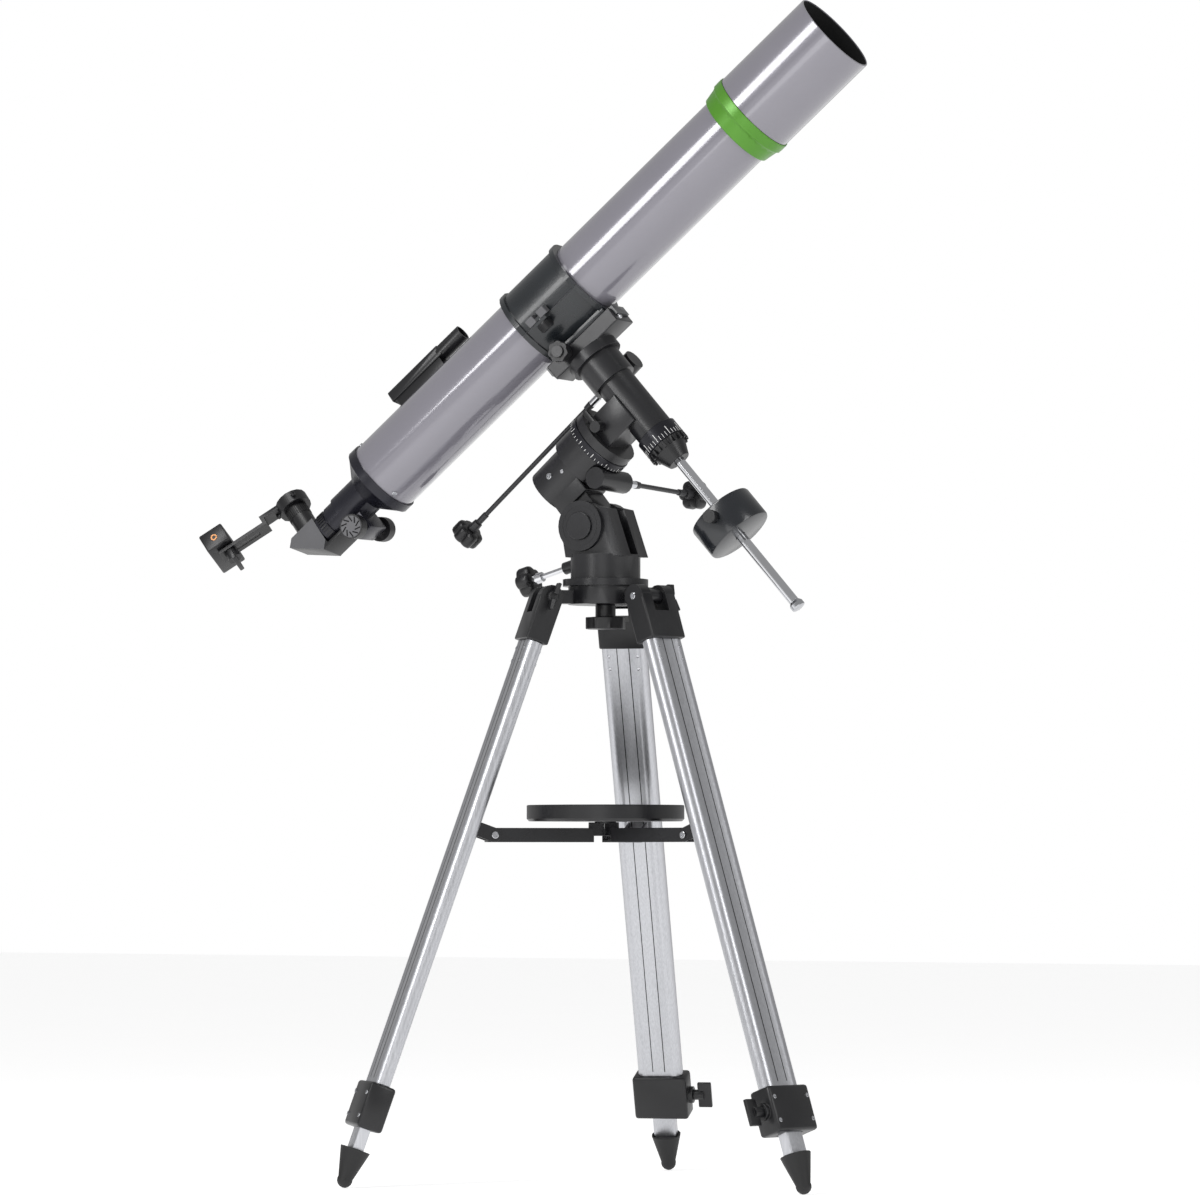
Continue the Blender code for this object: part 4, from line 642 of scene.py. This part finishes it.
# Counterweight. A turned cast-iron disc in satin black enamel that slides on the bar, with a nylon
# thumbscrew through its side.
weight_enamel = patterned("satin_black_cast_iron_enamel", "14161A", "1B1E23", 0.24, 1.6, 0.05, 0.0, 0.25)
weight_low, weight_high, weight_radius = reach("counterweight", dec_origin, dec_axis)
weight_radius *= 0.998
rim = 0.0028
weight = [(weight_low, bar_radius + 0.0006), (weight_low, weight_radius - rim)]
weight += [(weight_low + rim * 0.3, weight_radius - rim * 0.3), (weight_low + rim, weight_radius)]
weight += [(weight_high - rim, weight_radius), (weight_high - rim * 0.3, weight_radius - rim * 0.3)]
weight += [(weight_high, weight_radius - rim), (weight_high, bar_radius + 0.0006)]
weight.append(weight[0])
turned(
    "counterweight_disc", weight, dec_seat, weight_enamel, "counterweight", 128, replaces=("counterweight",),
    slot="cast_iron_black",
)
dressed("counterweight_lock_screw", moulded_nylon, 0.6)


# Saddle and cradle. The saddle clamps the dovetail with a knurled knob. The hinged ring, cast in two
# halves with a rolled bead at each end, is closed round the tube by a swing bolt and a knurled nut.
dressed("saddle", cast_enamel, 0.7)
knob_turn = joint["saddle_knob_turn"]
lobe_low, lobe_high, lobe_radius = reach("saddle_knob", knob_turn["pos_m"], knob_turn["axis"])
saddle_outward = Vector(knob_turn["axis"]) * (1 if lobe_high > -lobe_low else -1)
dressed("saddle_knob", moulded_nylon, 1.2)
cap_face = max(lobe_high, -lobe_low)
cap_disc = [(cap_face - 0.001, 0), (cap_face - 0.001, lobe_radius * 0.56)]
cap_disc += [(cap_face + 0.0001, lobe_radius * 0.50), (cap_face + 0.0001, 0)]
cap_seat = axis_place(knob_turn["pos_m"], saddle_outward, UP)
turned("saddle_knob_cap", cap_disc, cap_seat, hammered_enamel, "saddle_knob", 48)
ring_enamel = patterned("semigloss_black_ring_enamel", "15181B", "1D2125", 0.27, 1.4, 0.03, 0.0, 0.2)
dressed("cradle_lower", ring_enamel, 0.5)
dressed("cradle_upper", ring_enamel, 0.5)
clamp_knob = joint["cradle_knob_turn"]
tube_line = -Vector(joint["focus_slide"]["axis"])
knob_low, knob_high = reach("cradle_knob", clamp_knob["pos_m"], clamp_knob["axis"])[:2]
clamp_place = axis_place(clamp_knob["pos_m"], clamp_knob["axis"], (0, 1, 0))
grip_start = max(knob_low, 0.0003)
nut = [(grip_start, 0), (grip_start, 0.0085), (grip_start + 0.0015, 0.0092), (knob_high - 0.001, 0.0092)]
nut += [(knob_high, 0.0082), (knob_high, 0.0050), (knob_high - 0.001, 0.0046), (knob_high - 0.001, 0)]
turned(
    "clamp_nut", nut, clamp_place, moulded_nylon, "cradle_knob", 48,
    replaces=("cradle_knob",), slot="black_plastic",
)
middle = (grip_start + knob_high) / 2
round_blocks(
    "clamp_nut_knurl", clamp_place @ Matrix.Translation((middle, 0, 0)), 30, 0.0094,
    (0.0012, 0.0010, knob_high - grip_start - 0.003), moulded_nylon, "cradle_knob",
)
swing = [(knob_low, 0), (knob_low, 0.0026), (grip_start, 0.0026), (grip_start, 0)]
turned("clamp_swing_bolt", swing, clamp_place, chrome, "cradle_knob", 24, 0.3)
# Unpainted grey-black nylon is lighter than the rest and rather dull. On the cradle's ear prongs the same grey is
# a painted highlight, standing in for their lit top faces.
grey_nylon_and_prong_highlight = patterned("grey_black_nylon_and_prong_highlight", "515153", "5C5C5F", 0.42, 0.8, 0.02)
# Two chrome cap screws hold the saddle's jaw, one at each end of it.
for along, which in ((-0.2, "rear"), (0.2, "front")):
    start = dec_origin + tube_line * along + dec_axis * 0.098 - dec_axis.cross(tube_line) * 0.012
    point, normal = on_surface("saddle", start, tube_line * (-1 if along > 0 else 1))
    screw_head(f"{which}_jaw_bolt", point, normal, 0.0042, 0.0030, "telescope", chrome, 0.4)


# The cap's ear is forked, so that the swing bolt lies between two square prongs.
ear_seat = axis_place(clamp_knob["pos_m"], clamp_knob["axis"], tube_line)
prongs = bmesh.new()
for side in (-1, 1):
    prong = bmesh.ops.create_cube(prongs, size=1.0)["verts"]
    bmesh.ops.scale(prongs, vec=(0.0105, 0.0165, 0.0120), verts=prong)
    bmesh.ops.translate(prongs, vec=(-0.0098, 0.0, side * 0.0095), verts=prong)
bmesh.ops.transform(prongs, matrix=ear_seat, verts=prongs.verts)
prong_mesh = bpy.data.meshes.new("cradle_ear_prongs")
prongs.to_mesh(prong_mesh)
prongs.free()
# The prongs take the lighter grey while the cap is black: a painted highlight for their lit top faces.
placed("cradle_ear_prongs", prong_mesh, grey_nylon_and_prong_highlight, "cradle_cap", 0.8)


# Optical tube. Rolled aluminium in gloss grey lacquer, with a wider dew shield pushed on the lens
# cell. The cell's ring is anodised green. The inside of the shield is flocked matt black.
tube_axis = -Vector(joint["focus_slide"]["axis"])
tube_origin = Vector(joint["diagonal_turn"]["pos_m"])
tube_place = axis_place(tube_origin, tube_axis, dec_axis)
grey_lacquer = patterned("gloss_grey_lacquer", "77757D", "7D7B83", 0.17, 3.0, 0.003, 0.15, 1.0, 90.0)
green_anodised = patterned("green_anodised_aluminium", "47801F", "518C28", 0.30, 0.6, 0.01, 0.25)
# The same near-black also marks the slots on the focus knob faces, as painted shade.
flocked_lining_and_slot_shade = patterned("matt_black_flocked_lining_and_slot_shade", "050506", "0A0A0B", 0.95, 0.8, 0.05)


def sleeve(back, front, outer, inner, lip=0.0):
    """A tube's profile: outside from back to front, round the lip, and back down the inside."""
    points = [(back, inner), (back, outer)]
    points += [(front - lip, outer), (front, outer - lip)] if lip else [(front, outer)]
    return [*points, (front, inner), (back, inner)]


tube_low, tube_high, tube_radius = reach("main_tube", tube_origin, tube_axis)
turned(
    "grey_tube", sleeve(tube_low, tube_high, tube_radius, tube_radius - 0.0015), tube_place, grey_lacquer,
    "telescope", 160, replaces=("main_tube",), slot="grey_paint",
)
shield_low, shield_high, shield_radius = reach("dew_shield", tube_origin, tube_axis)
shield_radius *= 0.999
shield = sleeve(shield_low, shield_high, shield_radius, shield_radius - 0.0018, 0.0006)
turned(
    "dew_shield_tube", shield, tube_place, grey_lacquer, "telescope", 160,
    replaces=("dew_shield",), slot="grey_paint",
)
lining = sleeve(shield_low + 0.001, shield_high - 0.0012, shield_radius - 0.0016, shield_radius - 0.0026)
turned("dew_shield_flocking", lining, tube_place, flocked_lining_and_slot_shade, "telescope", 96)
dressed("lens_cell_ring", green_anodised, 0.5)
cell_low, cell_high, cell_radius = reach("lens_cell_ring", tube_origin, tube_axis)
cell_radius *= 0.999
collar = [(cell_low + 0.0008, tube_radius + 0.0004), (cell_low, tube_radius + 0.0020)]
collar += [(cell_low + 0.001, tube_radius + 0.0035), (cell_high - 0.011, cell_radius - 0.0016)]
collar += [(cell_high - 0.0095, cell_radius), (cell_high - 0.0015, cell_radius)]
collar += [(cell_high, cell_radius - 0.0015), (cell_high, tube_radius + 0.0004), collar[0]]
turned("lens_cell_band", collar, tube_place, green_anodised, "telescope", 160)
lens_coating = patterned("blue_green_coated_crown_glass", "06100F", "0A1A1C", 0.05, 8.0, 0.0)
dressed("objective_lens", lens_coating, 0.0)


# Focuser. A turned aluminium cone, pegged into the tube by three screws, carries the rack-and-pinion
# drawtube. Its anodising is a bluish black, and each focus knob has a slotted face and a milled rim.
focuser_black = patterned("bluish_black_anodised_aluminium", "1B1B22", "22222B", 0.26, 0.6, 0.008, 0.35)
dressed("focuser_body", focuser_black, 0.5)
TUBE_SCREW_IN = 0.012
for turn, which in ((-100, "near"), (20, "upper"), (140, "far")):
    around = Matrix.Rotation(math.radians(turn), 3, tube_axis)
    outward = around @ dec_axis
    head = tube_origin + tube_axis * (tube_low + TUBE_SCREW_IN) + outward * (tube_radius - 0.0002)
    screw_head(f"{which}_tube_screw", head, outward, 0.0032, 0.0016, "telescope")
dressed("drawtube", focuser_black, 0.4)
pinion = joint["focus_knob_turn"]
dressed("focus_pinion", moulded_nylon, 0.5)
pin_low, pin_high, pin_radius = reach("focus_pinion", pinion["pos_m"], pinion["axis"])
for face, sign, which in ((pin_high, 1, "first"), (-pin_low, -1, "second")):
    outward = Vector(pinion["axis"]) * sign
    seat = axis_place(pinion["pos_m"], outward, tube_axis)
    plate = [(face - 0.0009, 0), (face - 0.0009, pin_radius - 0.0012)]
    plate += [(face + 0.0002, pin_radius - 0.0020), (face + 0.0002, 0)]
    turned(f"{which}_knob_face", plate, seat, grey_nylon_and_prong_highlight, "focus_knobs", 64)
    # The slots are near-black blocks on the grey face: painted shade for the shadow down in each slot.
    slots = seat @ Matrix.Translation((face + 0.0002, 0, 0))
    slot_size = (0.0082, 0.0016, 0.0005)
    round_blocks(f"{which}_knob_slot_shade", slots, 10, pin_radius * 0.62, slot_size, flocked_lining_and_slot_shade, "focus_knobs", 0.6)
    rim = seat @ Matrix.Translation((face - 0.0070, 0, 0))
    mill_size, mill_radius = (0.0008, 0.0012, 0.0110), pin_radius - 0.0003
    round_blocks(f"{which}_knob_milling", rim, 40, mill_radius, mill_size, moulded_nylon, "focus_knobs")
collar_low = reach("drawtube", tube_origin, tube_axis)[0]
ribs = tube_place @ Matrix.Translation((collar_low + 0.008, 0, 0))
round_blocks("drawtube_collar_ribs", ribs, 36, 0.0232, (0.0010, 0.0018, 0.0100), moulded_nylon, "drawtube")


# Star diagonal and eyepiece. The mirror housing is a moulded right-angled prism shape with grey side
# plates, and a ring of rubber grip blocks stands round the eyepiece.
dressed("diagonal", moulded_nylon, 0.5)
dressed("eyepiece", moulded_nylon, 0.5)
eye_axis = Vector(joint["phone_arm_turn"]["axis"])
DIAGONAL_FACE, DIAGONAL_LEG, CHAMFER, HALF_WIDTH = -0.427, 0.039, 0.0092, 0.0190
half_leg = DIAGONAL_LEG / 2
corners = [(DIAGONAL_FACE, half_leg), (DIAGONAL_FACE - DIAGONAL_LEG, half_leg)]
corners += [(DIAGONAL_FACE - DIAGONAL_LEG - CHAMFER, half_leg - CHAMFER)]
corners += [(DIAGONAL_FACE - CHAMFER, -half_leg - CHAMFER), (DIAGONAL_FACE, -half_leg)]
plate_outward = eye_axis.cross(tube_axis)
plates = bmesh.new()
for side in (-1, 1):
    sheets = [
        [
            plates.verts.new(tube_origin + tube_axis * x + eye_axis * z + plate_outward * side * depth)
            for x, z in corners
        ]
        for depth in (HALF_WIDTH - 0.0004, HALF_WIDTH + 0.0004)
    ]
    for sheet in sheets:
        plates.faces.new(sheet)
    for i in range(len(corners)):
        n = (i + 1) % len(corners)
        plates.faces.new((sheets[0][i], sheets[0][n], sheets[1][n], sheets[1][i]))
bmesh.ops.recalc_face_normals(plates, faces=plates.faces)
plate_mesh = bpy.data.meshes.new("diagonal_side_plates")
plates.to_mesh(plate_mesh)
plates.free()
placed("diagonal_side_plates", plate_mesh, grey_nylon_and_prong_highlight, "diagonal", 0.2)


# Phone adapter. A clamp ring on the eyepiece, a slotted arm, and a sliding block with a brass thread
# that takes the telephone's holder, locked by a wing nut.
dressed("phone_arm", moulded_nylon, 0.5)
dressed("phone_holder", moulded_nylon, 1.2)
dressed("phone_wing_nut", moulded_nylon, 0.5)
brass = patterned("machined_brass", "B98452", "CD966E", 0.24, 0.8, 0.006, 1.0)
holder = frame["nodes"]["phone_holder"].data
LEAST_FLAT_AREA = 0.0001
flat_faces = [f for f in holder.polygons if f.normal.dot(-level_ahead) > 0.3 and f.area > LEAST_FLAT_AREA]
front_normal = max(flat_faces, key=lambda f: f.normal.dot(-level_ahead)).normal.copy()
depths = [v.co.dot(front_normal) for v in holder.vertices]
face_points = [v.co for v, d in zip(holder.vertices, depths) if d > max(depths) - 0.0005]
face_centre = sum(face_points, Vector()) / len(face_points)
insert = [(-0.002, 0), (-0.002, 0.0046), (0.0003, 0.0046), (0.0006, 0.0042)]
insert += [(0.0006, 0.0026), (-0.0016, 0.0024), (-0.0016, 0)]
insert_place = axis_place(face_centre, front_normal, UP)
turned("brass_thread_insert", insert, insert_place, brass, "phone_holder", 40, 0.0)
ring_turn = joint["phone_arm_turn"]
ring_seat = axis_place(ring_turn["pos_m"], ring_turn["axis"], tube_axis)
ring_high = reach("eyepiece", ring_turn["pos_m"], ring_turn["axis"])[1]
grip = ring_seat @ Matrix.Translation((ring_high - 0.020, 0, 0))
round_blocks("eyepiece_grip", grip, 32, 0.0151, (0.0008, 0.0016, 0.0120), boot_rubber, "diagonal")
arm_high = reach("phone_arm", ring_turn["pos_m"], ring_turn["axis"])[1]
clamp_middle = Vector(ring_turn["pos_m"]) + Vector(ring_turn["axis"]) * (arm_high - 0.008)
for turn, which in ((70, "first"), (190, "second"), (310, "third")):
    outward = Matrix.Rotation(math.radians(turn), 3, Vector(ring_turn["axis"])) @ tube_axis
    seat = clamp_middle + outward * 0.0214
    screw_head(f"{which}_ring_thumbscrew", seat, outward, 0.0032, 0.0050, "phone_arm", moulded_nylon, 0.3)


# Finder. A small moulded sight on a foot on the tube: a short round window in front and a flat-sided
# case behind it.
dressed("finder", moulded_nylon, 1.2, 40.0)


bpy.context.view_layer.update()
